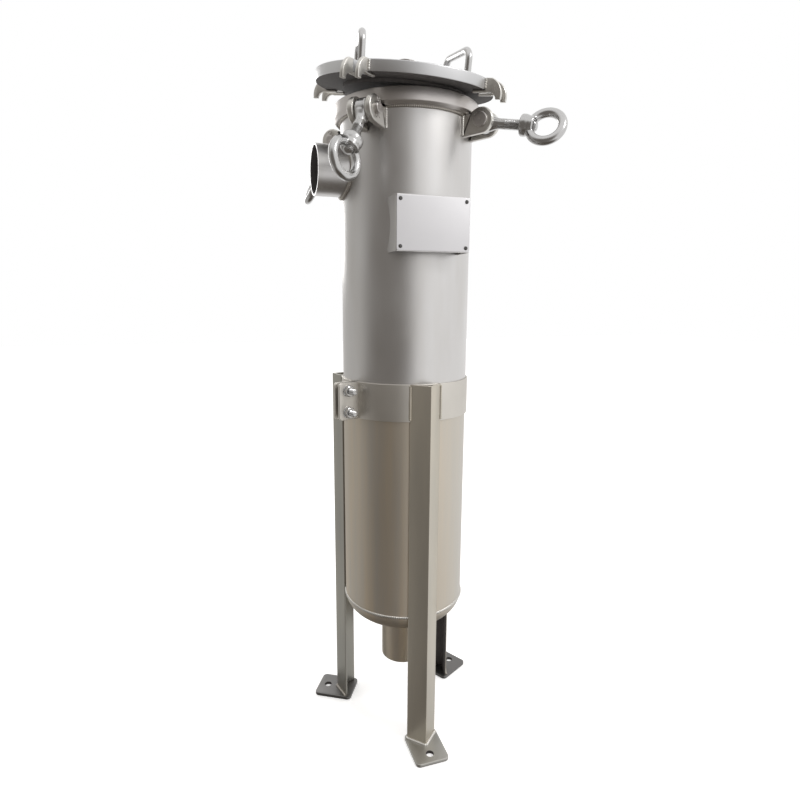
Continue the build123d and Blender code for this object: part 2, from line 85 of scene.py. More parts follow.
def turned(x, y, angle):
    """A plan point turned about the vessel axis: the usual two by two rotation."""
    return x * np.cos(angle) - y * np.sin(angle), x * np.sin(angle) + y * np.cos(angle)


eye_x, eye_y = turned(EYE_OFFSET[0], EYE_OFFSET[1], -VIEW_TURN)
camera_data = bpy.data.cameras.new("studio_camera")
camera_data.lens = LENS_MM
camera_data.sensor_width = 36
camera_data.clip_end = 50
camera = bpy.data.objects.new("studio_camera", camera_data)
bpy.context.scene.collection.objects.link(camera)
aim = Euler((np.pi / 2 - VIEW_PITCH, 0, -VIEW_TURN)).to_matrix()
aim = aim @ Matrix.Rotation(VIEW_ROLL, 3, "Z")
camera.matrix_world = Matrix.Translation((eye_x, eye_y, EYE_OFFSET[2])) @ aim.to_4x4()
bpy.context.scene.camera = camera
print("camera at", round(eye_x, 3), round(eye_y, 3), EYE_OFFSET[2])

# %% [markdown]
# ## The studio
# Polished steel has no colour of its own: it shows the room. The room is white paper, with one
# wide dark card left of the camera and a grey one beyond it. The dark card draws the long soft
# shadow down the left half of the vessel, and the bare paper on the right draws the highlight.
# The camera never sees the cards, only the metal does. The metal also sees the paper straight
# through the floor, so the lower half of the vessel reflects the same room as the upper half.

# %% Set the room's light
scene = bpy.context.scene
scene.view_settings.view_transform = "Standard"
world = bpy.data.worlds.new("studio_world")
world.use_nodes = True
scene.world = world
wn = world.node_tree.nodes
wl = world.node_tree.links
wn.clear()


def sky_direction(azimuth, height):
    """A unit vector; azimuth 0 points from the vessel to the camera and grows to the right."""
    x, y = turned(np.sin(azimuth), -np.cos(azimuth), -VIEW_TURN)
    vector = np.array([x, y, height])
    return vector / np.linalg.norm(vector)


def sky_patch(azimuth, height, start, end):
    """0 to 1 as a sky direction nears the patch centre: a smooth step of their dot product."""
    dot = wn.new("ShaderNodeVectorMath")
    dot.operation = "DOT_PRODUCT"
    dot.inputs[1].default_value = sky_direction(azimuth, height)
    wl.new(sky_coords.outputs["Generated"], dot.inputs[0])
    step = wn.new("ShaderNodeMapRange")
    step.interpolation_type = "SMOOTHSTEP"
    step.inputs["From Min"].default_value = start
    step.inputs["From Max"].default_value = end
    wl.new(dot.outputs["Value"], step.inputs["Value"])
    return step.outputs["Result"]


def mixed(tree, factor, first, second):
    """first * (1 - factor) + second * factor; each end is a colour or another node's output."""
    mix = tree.nodes.new("ShaderNodeMix")
    mix.data_type = "RGBA"
    for socket, value in ((mix.inputs[6], first), (mix.inputs[7], second)):
        if isinstance(value, tuple):
            socket.default_value = (*value, 1)
        else:
            tree.links.new(value, socket)
    tree.links.new(factor, mix.inputs[0])
    return mix.outputs[2]


sky_coords = wn.new("ShaderNodeTexCoord")
sky = (1.0, 0.995, 0.99)
CARDS = (                            # azimuth, height, where it starts and is full, colour
    (np.radians(-105), -0.1, 0.30, 0.95, (0.56, 0.55, 0.53)),
    (np.radians(-30), -0.15, 0.52, 0.88, (0.20, 0.185, 0.17)),
    (0.0, -20.0, 0.55, 0.88, (0.13, 0.115, 0.10)),
)
for azimuth, height, start, full, colour in CARDS:
    sky = mixed(world.node_tree, sky_patch(azimuth, height, start, full), sky, colour)
room = wn.new("ShaderNodeBackground")
wl.new(sky, room.inputs["Color"])
paper = wn.new("ShaderNodeBackground")
paper.inputs["Color"].default_value = (1, 1, 1, 1)
ray = wn.new("ShaderNodeLightPath")
bare = wn.new("ShaderNodeMath")
bare.operation = "MAXIMUM"
wl.new(ray.outputs["Is Camera Ray"], bare.inputs[0])
wl.new(ray.outputs["Is Transmission Ray"], bare.inputs[1])
swap = wn.new("ShaderNodeMixShader")
wl.new(bare.outputs[0], swap.inputs[0])
wl.new(room.outputs[0], swap.inputs[1])
wl.new(paper.outputs[0], swap.inputs[2])
world_out = wn.new("ShaderNodeOutputWorld")
wl.new(swap.outputs[0], world_out.inputs["Surface"])
print("world nodes:", len(wn))


# %% Hang the lamps and lay the floor
def area_lamp(name, azimuth, distance, height, size, power, aim_height):
    """A square soft lamp that looks at the vessel axis."""
    data = bpy.data.lights.new(name, "AREA")
    data.size = size
    data.energy = power
    lamp = bpy.data.objects.new(name, data)
    x, y = turned(distance * np.sin(azimuth), -distance * np.cos(azimuth), -VIEW_TURN)
    lamp.location = (x, y, height)
    toward = Vector((-x, -y, aim_height - height))
    lamp.rotation_euler = toward.to_track_quat("-Z", "Y").to_euler()
    scene.collection.objects.link(lamp)
    return lamp


area_lamp("key_lamp", np.radians(58), 2.2, 2.6, 0.6, 20, 0.8)
area_lamp("left_rim_lamp", np.radians(-150), 2.2, 1.4, 1.0, 9, 0.8)

floor_mesh = bpy.data.meshes.new("studio_floor")
FLOOR_HALF = 9.0
FLOOR_GLOW = 0.42                   # on camera rays only, so that the paper reads white
side = FLOOR_HALF
floor_mesh.from_pydata([(-side, -side, 0), (side, -side, 0), (side, side, 0), (-side, side, 0)],
                       [], [(0, 1, 2, 3)])
floor = bpy.data.objects.new("studio_floor", floor_mesh)
scene.collection.objects.link(floor)
floor.location.z = -0.0005
floor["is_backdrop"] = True
floor_paint = bpy.data.materials.new("floor_paper")
floor_paint.use_nodes = True
fp = floor_paint.node_tree
paint = fp.nodes["Principled BSDF"]
paint.inputs["Base Color"].default_value = (0.90, 0.89, 0.88, 1)
paint.inputs["Roughness"].default_value = 0.9
paint.inputs["Specular IOR Level"].default_value = 0.0
paint.inputs["Emission Color"].default_value = (1, 1, 1, 1)
seen = fp.nodes.new("ShaderNodeLightPath")
lift = fp.nodes.new("ShaderNodeMath")
lift.operation = "MULTIPLY"
lift.inputs[1].default_value = FLOOR_GLOW
fp.links.new(seen.outputs["Is Camera Ray"], lift.inputs[0])
fp.links.new(lift.outputs[0], paint.inputs["Emission Strength"])
clear = fp.nodes.new("ShaderNodeBsdfTransparent")
lay = fp.nodes.new("ShaderNodeMixShader")
fp.links.new(seen.outputs["Is Glossy Ray"], lay.inputs[0])
fp.links.new(paint.outputs[0], lay.inputs[1])
fp.links.new(clear.outputs[0], lay.inputs[2])
fp.links.new(lay.outputs[0], fp.nodes["Material Output"].inputs["Surface"])
floor_mesh.materials.append(floor_paint)
print("floor is", 2 * FLOOR_HALF, "m wide")

# %% [markdown]
# ## One recipe for every steel finish
# All the steel is the same alloy. What differs is how it was worked: rolled, blasted, turned,
# cast or polished. Some finishes are copies with light or shade painted into their tint: a
# painted floor reflection on the lower shell, head and outlet, a darker copy with painted shade
# for the back left leg and the back feet, and a paler copy with painted light for some weld
# beads. So one function takes the tint, the roughness and the grain, and each finish is one
# call. The grain is noise stretched along the direction of the tool marks.


# %% The steel recipe
def new_material(name):
    material = bpy.data.materials.new(name)
    material.use_nodes = True
    tree = material.node_tree
    shader = tree.nodes["Principled BSDF"]
    coords = tree.nodes.new("ShaderNodeTexCoord")
    return material, tree, shader, coords.outputs["Object"]


def stretched_noise(tree, coords, stretch, scale, detail=4.0, rough=0.55):
    """Noise read through a Mapping node: large stretch values squeeze the grain on that axis."""
    mapping = tree.nodes.new("ShaderNodeMapping")
    mapping.inputs["Scale"].default_value = stretch
    tree.links.new(coords, mapping.inputs["Vector"])
    noise = tree.nodes.new("ShaderNodeTexNoise")
    noise.inputs["Scale"].default_value = scale
    noise.inputs["Detail"].default_value = detail
    noise.inputs["Roughness"].default_value = rough
    tree.links.new(mapping.outputs["Vector"], noise.inputs["Vector"])
    return noise.outputs["Fac"]


def ranged(tree, value, low, high, start=0.3, end=0.7):
    """Map a value from start..end to low..high."""
    span = tree.nodes.new("ShaderNodeMapRange")
    span.inputs["From Min"].default_value = start
    span.inputs["From Max"].default_value = end
    span.inputs["To Min"].default_value = low
    span.inputs["To Max"].default_value = high
    tree.links.new(value, span.inputs["Value"])
    return span.outputs["Result"]


def add_bump(tree, shader, height, strength, distance):
    bump = tree.nodes.new("ShaderNodeBump")
    bump.inputs["Strength"].default_value = strength
    bump.inputs["Distance"].default_value = distance
    tree.links.new(height, bump.inputs["Height"])
    tree.links.new(bump.outputs["Normal"], shader.inputs["Normal"])


def steel(name, tint, rough, grain=(1, 1, 1), grain_scale=400, swing=0.06, bump=0.15,
          second=None, cloud=(1, 1, 1)):
    """Steel with a cloudy tint, uneven roughness and a fine directional grain.

    The cloud blends the tint with a second one, 14 percent darker where none is given.
    """
    material, tree, shader, coords = new_material(name)
    shader.inputs["Metallic"].default_value = 1.0
    mist = stretched_noise(tree, coords, cloud, 9.0, detail=3)
    second = second or tuple(0.86 * channel for channel in tint)
    factor = ranged(tree, mist, 0.0, 1.0)
    tree.links.new(mixed(tree, factor, tint, second), shader.inputs["Base Color"])
    marks = stretched_noise(tree, coords, grain, grain_scale, detail=2)
    smear = stretched_noise(tree, coords, tuple(0.25 * g for g in grain), 24, detail=4)
    roughness = ranged(tree, smear, rough - swing, rough + swing)
    tree.links.new(roughness, shader.inputs["Roughness"])
    add_bump(tree, shader, marks, bump, 0.0004)
    return material


def fade_across(material, start, end, tint):
    """Blend a finish towards a tint as the object's X goes from start to end."""
    tree = material.node_tree
    base = tree.nodes["Principled BSDF"].inputs["Base Color"]
    place = tree.nodes.new("ShaderNodeSeparateXYZ")
    coords = tree.nodes.new("ShaderNodeTexCoord")
    tree.links.new(coords.outputs["Object"], place.inputs[0])
    factor = ranged(tree, place.outputs["X"], 0.0, 1.0, start, end)
    tree.links.new(mixed(tree, factor, base.links[0].from_socket, tint), base)


BLASTED = steel("satin_shell_steel", (0.67, 0.66, 0.655), 0.34, (1, 1, 1), 900, bump=0.10,
                second=(0.62, 0.605, 0.59), cloud=(3, 3, 0.6))
# A brown copy of the shell steel: a painted reflection of a brown floor, with streaky tone; it fades
# to grey towards +X.
WARM = steel("rolled_shell_steel", (0.64, 0.555, 0.44), 0.48, (1, 1, 0.25), 500, bump=0.08,
             second=(0.56, 0.52, 0.46), cloud=(5, 5, 0.3))
fade_across(WARM, 0.0, 0.11, (0.58, 0.565, 0.53))
TURNED = steel("turned_flange_steel", (0.66, 0.63, 0.61), 0.35, (0.2, 0.2, 4), 300, bump=0.12)
LID = steel("fine_lid_steel", (0.70, 0.70, 0.705), 0.40, (1, 1, 1), 700, bump=0.10)
CAST = steel("cast_lug_steel", (0.72, 0.70, 0.66), 0.38, (1, 1, 1), 350, swing=0.09, bump=0.35)
POLISHED = steel("polished_cast_steel", (0.60, 0.595, 0.59), 0.22, (1, 1, 1), 260, bump=0.12)
MILL = steel("mill_angle_steel", (0.62, 0.575, 0.49), 0.42, (1, 1, 0.06), 420, bump=0.2,
             second=(0.52, 0.49, 0.43), cloud=(2, 2, 0.4))
# A darker copy of the angle steel: painted shade.
MILL_DULL = steel("dull_angle_steel", (0.47, 0.455, 0.405), 0.44, (1, 1, 0.06), 420, bump=0.2,
                  second=(0.38, 0.375, 0.345), cloud=(2, 2, 0.4))
# Two copies of the foot steel: a dark one with painted shade for the back feet and a pale one for
# the lit front foot.
FOOT = steel("dull_foot_steel", (0.19, 0.185, 0.18), 0.44, (1, 1, 1), 300, bump=0.2)
FOOT_PALE = steel("wiped_foot_steel", (0.50, 0.49, 0.46), 0.42, (1, 1, 1), 300, bump=0.2)
WELD = steel("weld_metal", (0.46, 0.43, 0.39), 0.34, (1, 1, 1), 220, swing=0.12, bump=0.4)
# A paler copy of the weld metal: painted light, for beads that shine.
WELD_PALE = steel("fresh_weld_metal", (0.66, 0.64, 0.60), 0.32, (1, 1, 1), 160, swing=0.14,
                  bump=0.6)
BAND = steel("rolled_band_steel", (0.70, 0.67, 0.62), 0.46, (1, 1, 0.3), 480, bump=0.1)
BASKET = steel("pickled_basket_steel", (0.50, 0.49, 0.48), 0.45, (1, 1, 1), 300, bump=0.2)
print("steel finishes:", [m.name for m in bpy.data.materials if "steel" in m.name])


# %% The other finishes
def coating(name, first, second, rough, scale, bump, distance=0.0003, sheen=0.0):
    """A non-metal: two close tones by noise, with a fine bump."""
    material, tree, shader, coords = new_material(name)
    fine = stretched_noise(tree, coords, (1, 1, 1), scale)
    tree.links.new(mixed(tree, ranged(tree, fine, 0, 1), first, second),
                   shader.inputs["Base Color"])
    shader.inputs["Roughness"].default_value = rough
    shader.inputs["Sheen Weight"].default_value = sheen
    add_bump(tree, shader, fine, bump, distance)
    return material


RUBBER = coating("seal_rubber", (0.02, 0.02, 0.022), (0.035, 0.034, 0.033), 0.5, 300, 0.2)
FELT = coating("needle_felt", (0.80, 0.80, 0.77), (0.66, 0.66, 0.62), 0.95, 900, 0.9, 0.001, 0.3)
COLLAR = coating("moulded_collar", (0.78, 0.80, 0.78), (0.74, 0.76, 0.74), 0.45, 120, 0.1)
# Painted shade: a near-black matte laid on the shell's inside, the inlet bore, the lid's underside,
# the foot holes and the back right leg's inner faces, where shade falls.
UNDER = coating("scaled_inner_steel", (0.05, 0.045, 0.043), (0.075, 0.067, 0.063), 0.72, 240, 0.25)
RIVET = coating("blackened_rivet", (0.03, 0.03, 0.03), (0.08, 0.075, 0.07), 0.4, 500, 0.3)
PLATE = steel("matt_plate_metal", (0.70, 0.69, 0.70), 0.50, (0.1, 1, 3), 600, swing=0.04,
              bump=0.08, second=(0.66, 0.65, 0.66))
print("all finishes:", len(bpy.data.materials))

# %% [markdown]
# ## Surfaces from grids
# A vessel is made of turned, swept and sawn shapes. The helpers below cover them: a grid of
# points becomes a mesh, a profile spins about an axis, a circle follows a path, and a flat
# outline gains rounded edges. Everything else in this notebook calls them.


# %% Grid to mesh
def mesh_from_grid(name, points, close_u=False, close_v=False, cap_ends=False):
    """Join a (u, v, 3) array of points by quads; closing a direction joins last to first."""
    count_u, count_v, _ = points.shape
    index = np.arange(count_u * count_v).reshape(count_u, count_v)
    rows = np.arange(count_u if close_u else count_u - 1)
    cols = np.arange(count_v if close_v else count_v - 1)
    row, col = np.meshgrid(rows, cols, indexing="ij")
    row_next = (row + 1) % count_u
    col_next = (col + 1) % count_v
    quads = np.stack([index[row, col], index[row_next, col],
                      index[row_next, col_next], index[row, col_next]], axis=-1)
    faces = quads.reshape(-1, 4).tolist()
    if cap_ends:
        faces.append(index[:, 0].tolist())
        faces.append(index[:, -1][::-1].tolist())
    mesh = bpy.data.meshes.new(name)
    mesh.from_pydata(points.reshape(-1, 3), [], faces)
    mesh.update()
    return mesh


def polar(radius, turn, height):
    """Points (r cos t, r sin t, z); each of the three may be a number or an array."""
    parts = np.broadcast_arrays(radius * np.cos(turn), radius * np.sin(turn), height)
    return np.stack(parts, axis=-1)


def tidy_mesh(mesh, merge=1e-6):
    """Merge doubles and turn every face outwards."""
    work = bmesh.new()
    work.from_mesh(mesh)
    bmesh.ops.remove_doubles(work, verts=work.verts, dist=merge)
    bmesh.ops.recalc_face_normals(work, faces=work.faces)
    work.to_mesh(mesh)
    work.free()


def show(mesh, body, material, name=None, smooth_angle=35, tidy=True):
    """Put a mesh in the scene on a body, with smooth shading that keeps true edges."""
    if tidy:
        tidy_mesh(mesh)
    piece = bpy.data.objects.new(name or mesh.name, mesh)
    scene.collection.objects.link(piece)
    mesh.materials.append(material)
    mesh.shade_smooth()
    mesh.set_sharp_from_angle(angle=np.radians(smooth_angle))
    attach(piece, body)
    return piece


def second_finish(piece, material, chosen):
    """Give a further material to the faces whose centre and normal pass a test."""
    piece.data.materials.append(material)
    slot = len(piece.data.materials) - 1
    for polygon in piece.data.polygons:
        if chosen(np.array(polygon.center), np.array(polygon.normal)):
            polygon.material_index = slot


def joined(name, meshes):
    """One mesh from several: stack their vertices and shift their face indices."""
    verts = []
    faces = []
    offset = 0
    for mesh in meshes:
        coords = np.empty(len(mesh.vertices) * 3)
        mesh.vertices.foreach_get("co", coords)
        verts.append(coords.reshape(-1, 3))
        faces += [[v + offset for v in polygon.vertices] for polygon in mesh.polygons]
        offset += len(mesh.vertices)
    whole = bpy.data.meshes.new(name)
    whole.from_pydata(np.concatenate(verts), [], faces)
    whole.update()
    return whole


# %% Turned shapes
def spun(name, profile, steps=128, origin=(0, 0, 0), axes=np.eye(3), closed=True):
    """Spin (radius, height) pairs about the third axis: x = r cos t, y = r sin t, z = h."""
    profile = np.asarray(profile, float)
    turn = np.linspace(0, TAU, steps, endpoint=False)[:, None]
    points = np.asarray(origin) + polar(profile[:, 0], turn, profile[:, 1]) @ np.asarray(axes)
    return mesh_from_grid(name, points, close_u=True, close_v=closed)


def rod_outline(radius, low, high):
    """Half the section of a plain rod, for turning one or for drilling a hole."""
    return [(0, low), (radius, low), (radius, high), (0, high)]


def rounded(profile, radius, steps=4):
    """Round the corners of a closed (radius, height) outline with short quadratic arcs."""
    profile = np.asarray(profile, float)
    before = np.roll(profile, 1, axis=0) - profile
    after = np.roll(profile, -1, axis=0) - profile
    reach_before = np.minimum(radius, 0.45 * np.linalg.norm(before, axis=1))[:, None]
    reach_after = np.minimum(radius, 0.45 * np.linalg.norm(after, axis=1))[:, None]
    start = profile + before / np.linalg.norm(before, axis=1)[:, None] * reach_before
    end = profile + after / np.linalg.norm(after, axis=1)[:, None] * reach_after
    t = np.linspace(0, 1, steps + 1)[:, None, None]
    arcs = (1 - t) ** 2 * start + 2 * t * (1 - t) * profile + t**2 * end
    return arcs.transpose(1, 0, 2).reshape(-1, 2)


# %% Shapes swept along a path
def path_frames(path):
    """Tangents and two side vectors that turn as little as possible along the path."""
    tangent = np.gradient(path, axis=0)
    tangent /= np.linalg.norm(tangent, axis=1)[:, None]
    side = np.empty_like(path)
    guess = np.cross(tangent[0], (0, 0, 1.0))
    if np.linalg.norm(guess) < 0.1:
        guess = np.cross(tangent[0], (0, 1.0, 0))
    for i, along in enumerate(tangent):
        guess = guess - along * (guess @ along)
        guess /= np.linalg.norm(guess)
        side[i] = guess
    return tangent, side, np.cross(tangent, side)


def swept_tube(name, path, radius, steps=20, closed=False):
    """A circle carried along a path; radius may be one number or one per path point."""
    path = np.asarray(path, float)
    _, side, other = path_frames(path)
    radius = np.broadcast_to(radius, len(path))[:, None, None]
    turn = np.linspace(0, TAU, steps, endpoint=False)[None, :, None]
    points = path[:, None] + radius * (side[:, None] * np.cos(turn) + other[:, None] * np.sin(turn))
    return mesh_from_grid(name, points.transpose(1, 0, 2), close_u=True, close_v=closed,
                          cap_ends=not closed)


def weld_bead(name, path, radius, ripple=0.0016, closed=False):
    """A bead is a tube whose radius pulses once per ripple, like coins laid in a row."""
    path = np.asarray(path, float)
    step = np.linalg.norm(np.diff(path, axis=0), axis=1)
    length = np.concatenate([[0], np.cumsum(step)])
    count = max(12, int(length[-1] / ripple * 5))
    even = np.linspace(0, length[-1], count)
    fine = np.stack([np.interp(even, length, path[:, k]) for k in range(3)], axis=1)
    wave = np.abs(np.sin(np.pi * even / ripple / 2))
    drift = 1 + 0.06 * np.sin(even / 0.011) + 0.05 * np.sin(even / 0.0043 + 1)
    if closed:
        fine, wave, drift = fine[:-1], wave[:-1], drift[:-1]
    return swept_tube(name, fine, radius * drift * (0.86 + 0.14 * wave), steps=9, closed=closed)


# %% Flat plates with soft edges
def plate(name, outline, thick, edge, origin, along, across, levels=4):
    """A flat outline given thickness: each edge ring steps inwards on a quarter circle."""
    outline = np.asarray(outline, float)
    area = np.sum(outline[:, 0] * np.roll(outline[:, 1], -1)
                  - np.roll(outline[:, 0], -1) * outline[:, 1])
    if area < 0:
        outline = outline[::-1]
    forward = np.roll(outline, -1, axis=0) - np.roll(outline, 1, axis=0)
    inward = np.stack([-forward[:, 1], forward[:, 0]], axis=1)
    inward /= np.linalg.norm(inward, axis=1)[:, None] + 1e-12
    angle = np.linspace(0, np.pi / 2, levels + 1)
    inset = np.concatenate([edge * (1 - np.sin(angle)), edge * (1 - np.cos(angle))])
    height = np.concatenate([edge * (1 - np.cos(angle)), thick - edge * (1 - np.sin(angle))])
    rings = outline[:, None] + inward[:, None] * inset[None, :, None]
    along = np.asarray(along, float)
    across = np.asarray(across, float)
    normal = np.cross(along, across)
    points = (np.asarray(origin) + rings[..., :1] * along + rings[..., 1:] * across
              + height[None, :, None] * normal)
    return mesh_from_grid(name, points, close_u=True, cap_ends=True)


def arc(centre, radius, start, end, steps):
    """Points on a circle from one angle to another, both in degrees."""
    t = np.radians(np.linspace(start, end, steps))
    return np.stack([centre[0] + radius * np.cos(t), centre[1] + radius * np.sin(t)], axis=1)


def round_rectangle(left, right, low, high, corner, steps):
    """Four quarter circles, clockwise from the top right."""
    return np.concatenate([
        arc((right - corner, high - corner), corner, 90, 0, steps),
        arc((right - corner, low + corner), corner, 0, -90, steps),
        arc((left + corner, low + corner), corner, -90, -180, steps),
        arc((left + corner, high - corner), corner, 180, 90, steps)])


print("surface helpers ready")

# %% [markdown]
# ## The vessel shell
# The shell is rolled from sheet. It is never a perfect cylinder: it holds a faint waviness,
# which is what makes long reflections wander. The surface is a cylinder whose radius carries
# two slow waves, well under a tenth of a millimetre each, with the inlet cut out of its side.

# %% Spin the shell and cut the inlet
shell_low, shell_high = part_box("filter_shell")
pipe_low, pipe_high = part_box("inlet_nozzle")
SHELL_R = (shell_high[0] - shell_low[0]) / 2
WALL = 3 * MM
GIRTH_Z = shell_low[2]
SHELL_TOP = shell_high[2]
PIPE_R = (pipe_high[2] - pipe_low[2]) / 2
INLET_Z = (pipe_high[2] + pipe_low[2]) / 2
INLET_END = pipe_low[0]


def shell_surface(steps=256, rows=180):
    """Radius = R + small waves of angle and height; the wall runs down inside it."""
    turn = np.linspace(0, TAU, steps, endpoint=False)[:, None]
    height = np.linspace(GIRTH_Z, SHELL_TOP, rows)[None, :]
    wave = 5e-5 * np.sin(3 * turn + 9 * height) + 4e-5 * np.sin(5 * turn - 14 * height + 1)
    outer = polar(SHELL_R - 1e-4 + wave, turn, height)
    inner = polar(SHELL_R - WALL, turn, np.linspace(SHELL_TOP, GIRTH_Z, 12)[None, :])
    return mesh_from_grid("shell_skin", np.concatenate([outer, inner], axis=1),
                          close_u=True, close_v=True)


def cut_with(piece, cutter_mesh):
    """Subtract a mesh by an exact boolean and keep only the result."""
    tidy_mesh(cutter_mesh)
    cutter = bpy.data.objects.new("cutter", cutter_mesh)
    scene.collection.objects.link(cutter)
    knife = piece.modifiers.new("cut", "BOOLEAN")
    knife.object = cutter
    knife.operation = "DIFFERENCE"
    knife.solver = "EXACT"
    depsgraph = bpy.context.evaluated_depsgraph_get()
    result = bpy.data.meshes.new_from_object(piece.evaluated_get(depsgraph))
    piece.modifiers.clear()
    piece.data = result
    bpy.data.objects.remove(cutter)
    result.set_sharp_from_angle(angle=np.radians(35))


shell = show(shell_surface(), "vessel", BLASTED)
X_AXIS_DOWN = np.array([[0, 1, 0], [0, 0, 1], [-1.0, 0, 0]])   # third axis points along -X
inlet_drill = rod_outline(PIPE_R - WALL, 0, 0.2)
cut_with(shell, spun("inlet_bore", inlet_drill, 64, (0, 0, INLET_Z), X_AXIS_DOWN, closed=False))
band_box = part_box("clamp_band")
behind_band = (band_box[0][2] + band_box[1][2]) / 2
# Below the band's middle the shell takes the brown tint, a painted reflection of a brown floor.
second_finish(shell, WARM, lambda centre, normal: centre[2] < behind_band)
# Painted shade: the shell's inside takes the near-black matte.
second_finish(shell, UNDER, lambda centre, normal: np.hypot(*centre[:2]) < SHELL_R - 2 * MM)
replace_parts(shell, "filter_shell")
print("shell triangles about", 2 * len(shell.data.polygons))

# %% [markdown]
# ## Head, pipes and flange
# The bottom is a two-to-one elliptical head, pressed from one disc. The pipe stubs are plain
# tube; where the inlet meets the round shell its end is cut to a saddle, so the start of each
# line on the pipe lies at the shell radius for its own sideways position.


# %% Build the head and the pipes
def head_profile():
    """Outer quarter ellipse down to the outlet, then the inner one back up."""
    depth = SHELL_R / 2
    t = np.linspace(np.pi / 2, np.arcsin(PIPE_R / SHELL_R), 48)
    outer = np.stack([SHELL_R * np.sin(t), GIRTH_Z - depth * np.cos(t)], 1)
    inner = np.stack([(SHELL_R - WALL) * np.sin(t), GIRTH_Z - (depth - WALL) * np.cos(t)], 1)
    inner[:, 0] = np.maximum(inner[:, 0], PIPE_R)
    return np.concatenate([outer, inner[::-1]])


# The head, like the lower shell, takes the brown painted floor reflection.
head = show(spun("head_skin", head_profile(), 192), "vessel", WARM)
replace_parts(head, "bottom_head")

outlet_low, outlet_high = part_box("outlet_pipe")
pipe_wall_r = PIPE_R - WALL
outlet_outline = [(PIPE_R, outlet_low[2]), (PIPE_R, outlet_high[2]),
                  (pipe_wall_r, outlet_high[2]), (pipe_wall_r, outlet_low[2])]
# The outlet takes the same painted floor reflection.
outlet = show(spun("outlet_skin", rounded(outlet_outline, 0.6 * MM), 96), "vessel", WARM)
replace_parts(outlet, "outlet_pipe")


def inlet_surface(steps=96, rows=24):
    """Each line of the pipe starts on the shell, x = -sqrt(R^2 - y^2), and ends at the mouth."""
    turn = np.linspace(0, TAU, steps, endpoint=False)[:, None]
    y_out = PIPE_R * np.cos(turn)
    y_in = pipe_wall_r * np.cos(turn)
    t = np.linspace(0, 1, rows)[None, :]
    start_out = -np.sqrt(SHELL_R**2 - y_out**2) + 0.001
    start_in = -np.sqrt(SHELL_R**2 - y_in**2) + 0.001
    x_out = start_out + (INLET_END - start_out) * t
    x_in = INLET_END + (start_in - INLET_END) * t
    z_out = INLET_Z + PIPE_R * np.sin(turn)
    z_in = INLET_Z + pipe_wall_r * np.sin(turn)
    outer = np.stack(np.broadcast_arrays(x_out, y_out, z_out), -1)
    inner = np.stack(np.broadcast_arrays(x_in, y_in, z_in), -1)
    return mesh_from_grid("inlet_skin", np.concatenate([outer, inner], axis=1),
                          close_u=True, close_v=True)


inlet = show(inlet_surface(), "vessel", BLASTED)
# Painted shade inside the inlet's bore.
second_finish(inlet, UNDER, lambda centre, normal: np.hypot(
    centre[1], centre[2] - INLET_Z) < PIPE_R - 2 * MM)
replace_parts(inlet, "inlet_nozzle")
print("inlet mouth at x =", round(float(INLET_END), 4))

# %% Turn the flange
flange_low, flange_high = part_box("top_flange")
FLANGE_R = (flange_high[0] - flange_low[0]) / 2
FLANGE_Z = flange_low[2]
FLANGE_TOP = flange_high[2]
FLANGE_BORE = 102 * MM
seal_low, seal_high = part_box("o_ring")
SEAL_WIRE = (seal_high[2] - seal_low[2]) / 2
SEAL_R = (seal_high[0] - seal_low[0]) / 2 - SEAL_WIRE


def flange_profile():
    """The ring's section: bore, bevelled lower edge, round rim and a groove for the seal."""
    bevel = 5 * MM
    deep = 4 * MM
    return [(FLANGE_BORE, FLANGE_Z), (FLANGE_R - bevel, FLANGE_Z), (FLANGE_R, FLANGE_Z + bevel),
            (FLANGE_R, FLANGE_TOP), (SEAL_R + SEAL_WIRE, FLANGE_TOP),
            (SEAL_R + SEAL_WIRE, FLANGE_TOP - deep), (SEAL_R - SEAL_WIRE, FLANGE_TOP - deep),
            (SEAL_R - SEAL_WIRE, FLANGE_TOP), (FLANGE_BORE, FLANGE_TOP)]


flange = show(spun("flange_skin", rounded(flange_profile(), 1.2 * MM), 256), "vessel", TURNED)
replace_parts(flange, "top_flange")
seal_turn = np.linspace(0, TAU, 240, endpoint=False)
seal_path = polar(SEAL_R, seal_turn, (seal_low[2] + seal_high[2]) / 2)
seal = show(swept_tube("seal_ring", seal_path, SEAL_WIRE - 1e-5, closed=True), "vessel", RUBBER)
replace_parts(seal, "o_ring")
print("flange radius", round(float(FLANGE_R), 4), "top", round(float(FLANGE_TOP), 4))

# %% [markdown]
# ## The welds of the vessel
# Every joint of the vessel is a weld, and each leaves a rippled line. A bead is a thin tube on
# the line of the joint: circles for the girth and the flange, a saddle curve for the inlet.


# %% Run the vessel's beads
def ring_path(radius, height, steps=180):
    return polar(radius, np.linspace(0, TAU, steps + 1), height)


def saddle_path(out, steps=160):
    """The curve where the inlet pipe meets the shell, moved out from both by the same step."""
    turn = np.linspace(0, TAU, steps + 1)
    y = (PIPE_R + out) * np.cos(turn)
    x = -np.sqrt((SHELL_R + out) ** 2 - y**2)
    return np.stack([x, y, INLET_Z + (PIPE_R + out) * np.sin(turn)], axis=1)


outlet_weld_z = GIRTH_Z - SHELL_R / 2 * np.sqrt(1 - (PIPE_R / SHELL_R) ** 2)
vessel_welds = joined("vessel_welds", [
    weld_bead("girth_bead", ring_path(SHELL_R - 0.8 * MM, GIRTH_Z), 3.0 * MM, closed=True),
    weld_bead("flange_bead", ring_path(SHELL_R, FLANGE_Z), 3.0 * MM, closed=True),
    weld_bead("outlet_bead", ring_path(PIPE_R + 1.2 * MM, outlet_weld_z - 1.2 * MM),
              3.9 * MM, closed=True),
    weld_bead("inlet_bead", saddle_path(1.2 * MM), 3.9 * MM, closed=True),
])
welds = show(vessel_welds, "vessel", WELD, smooth_angle=60)
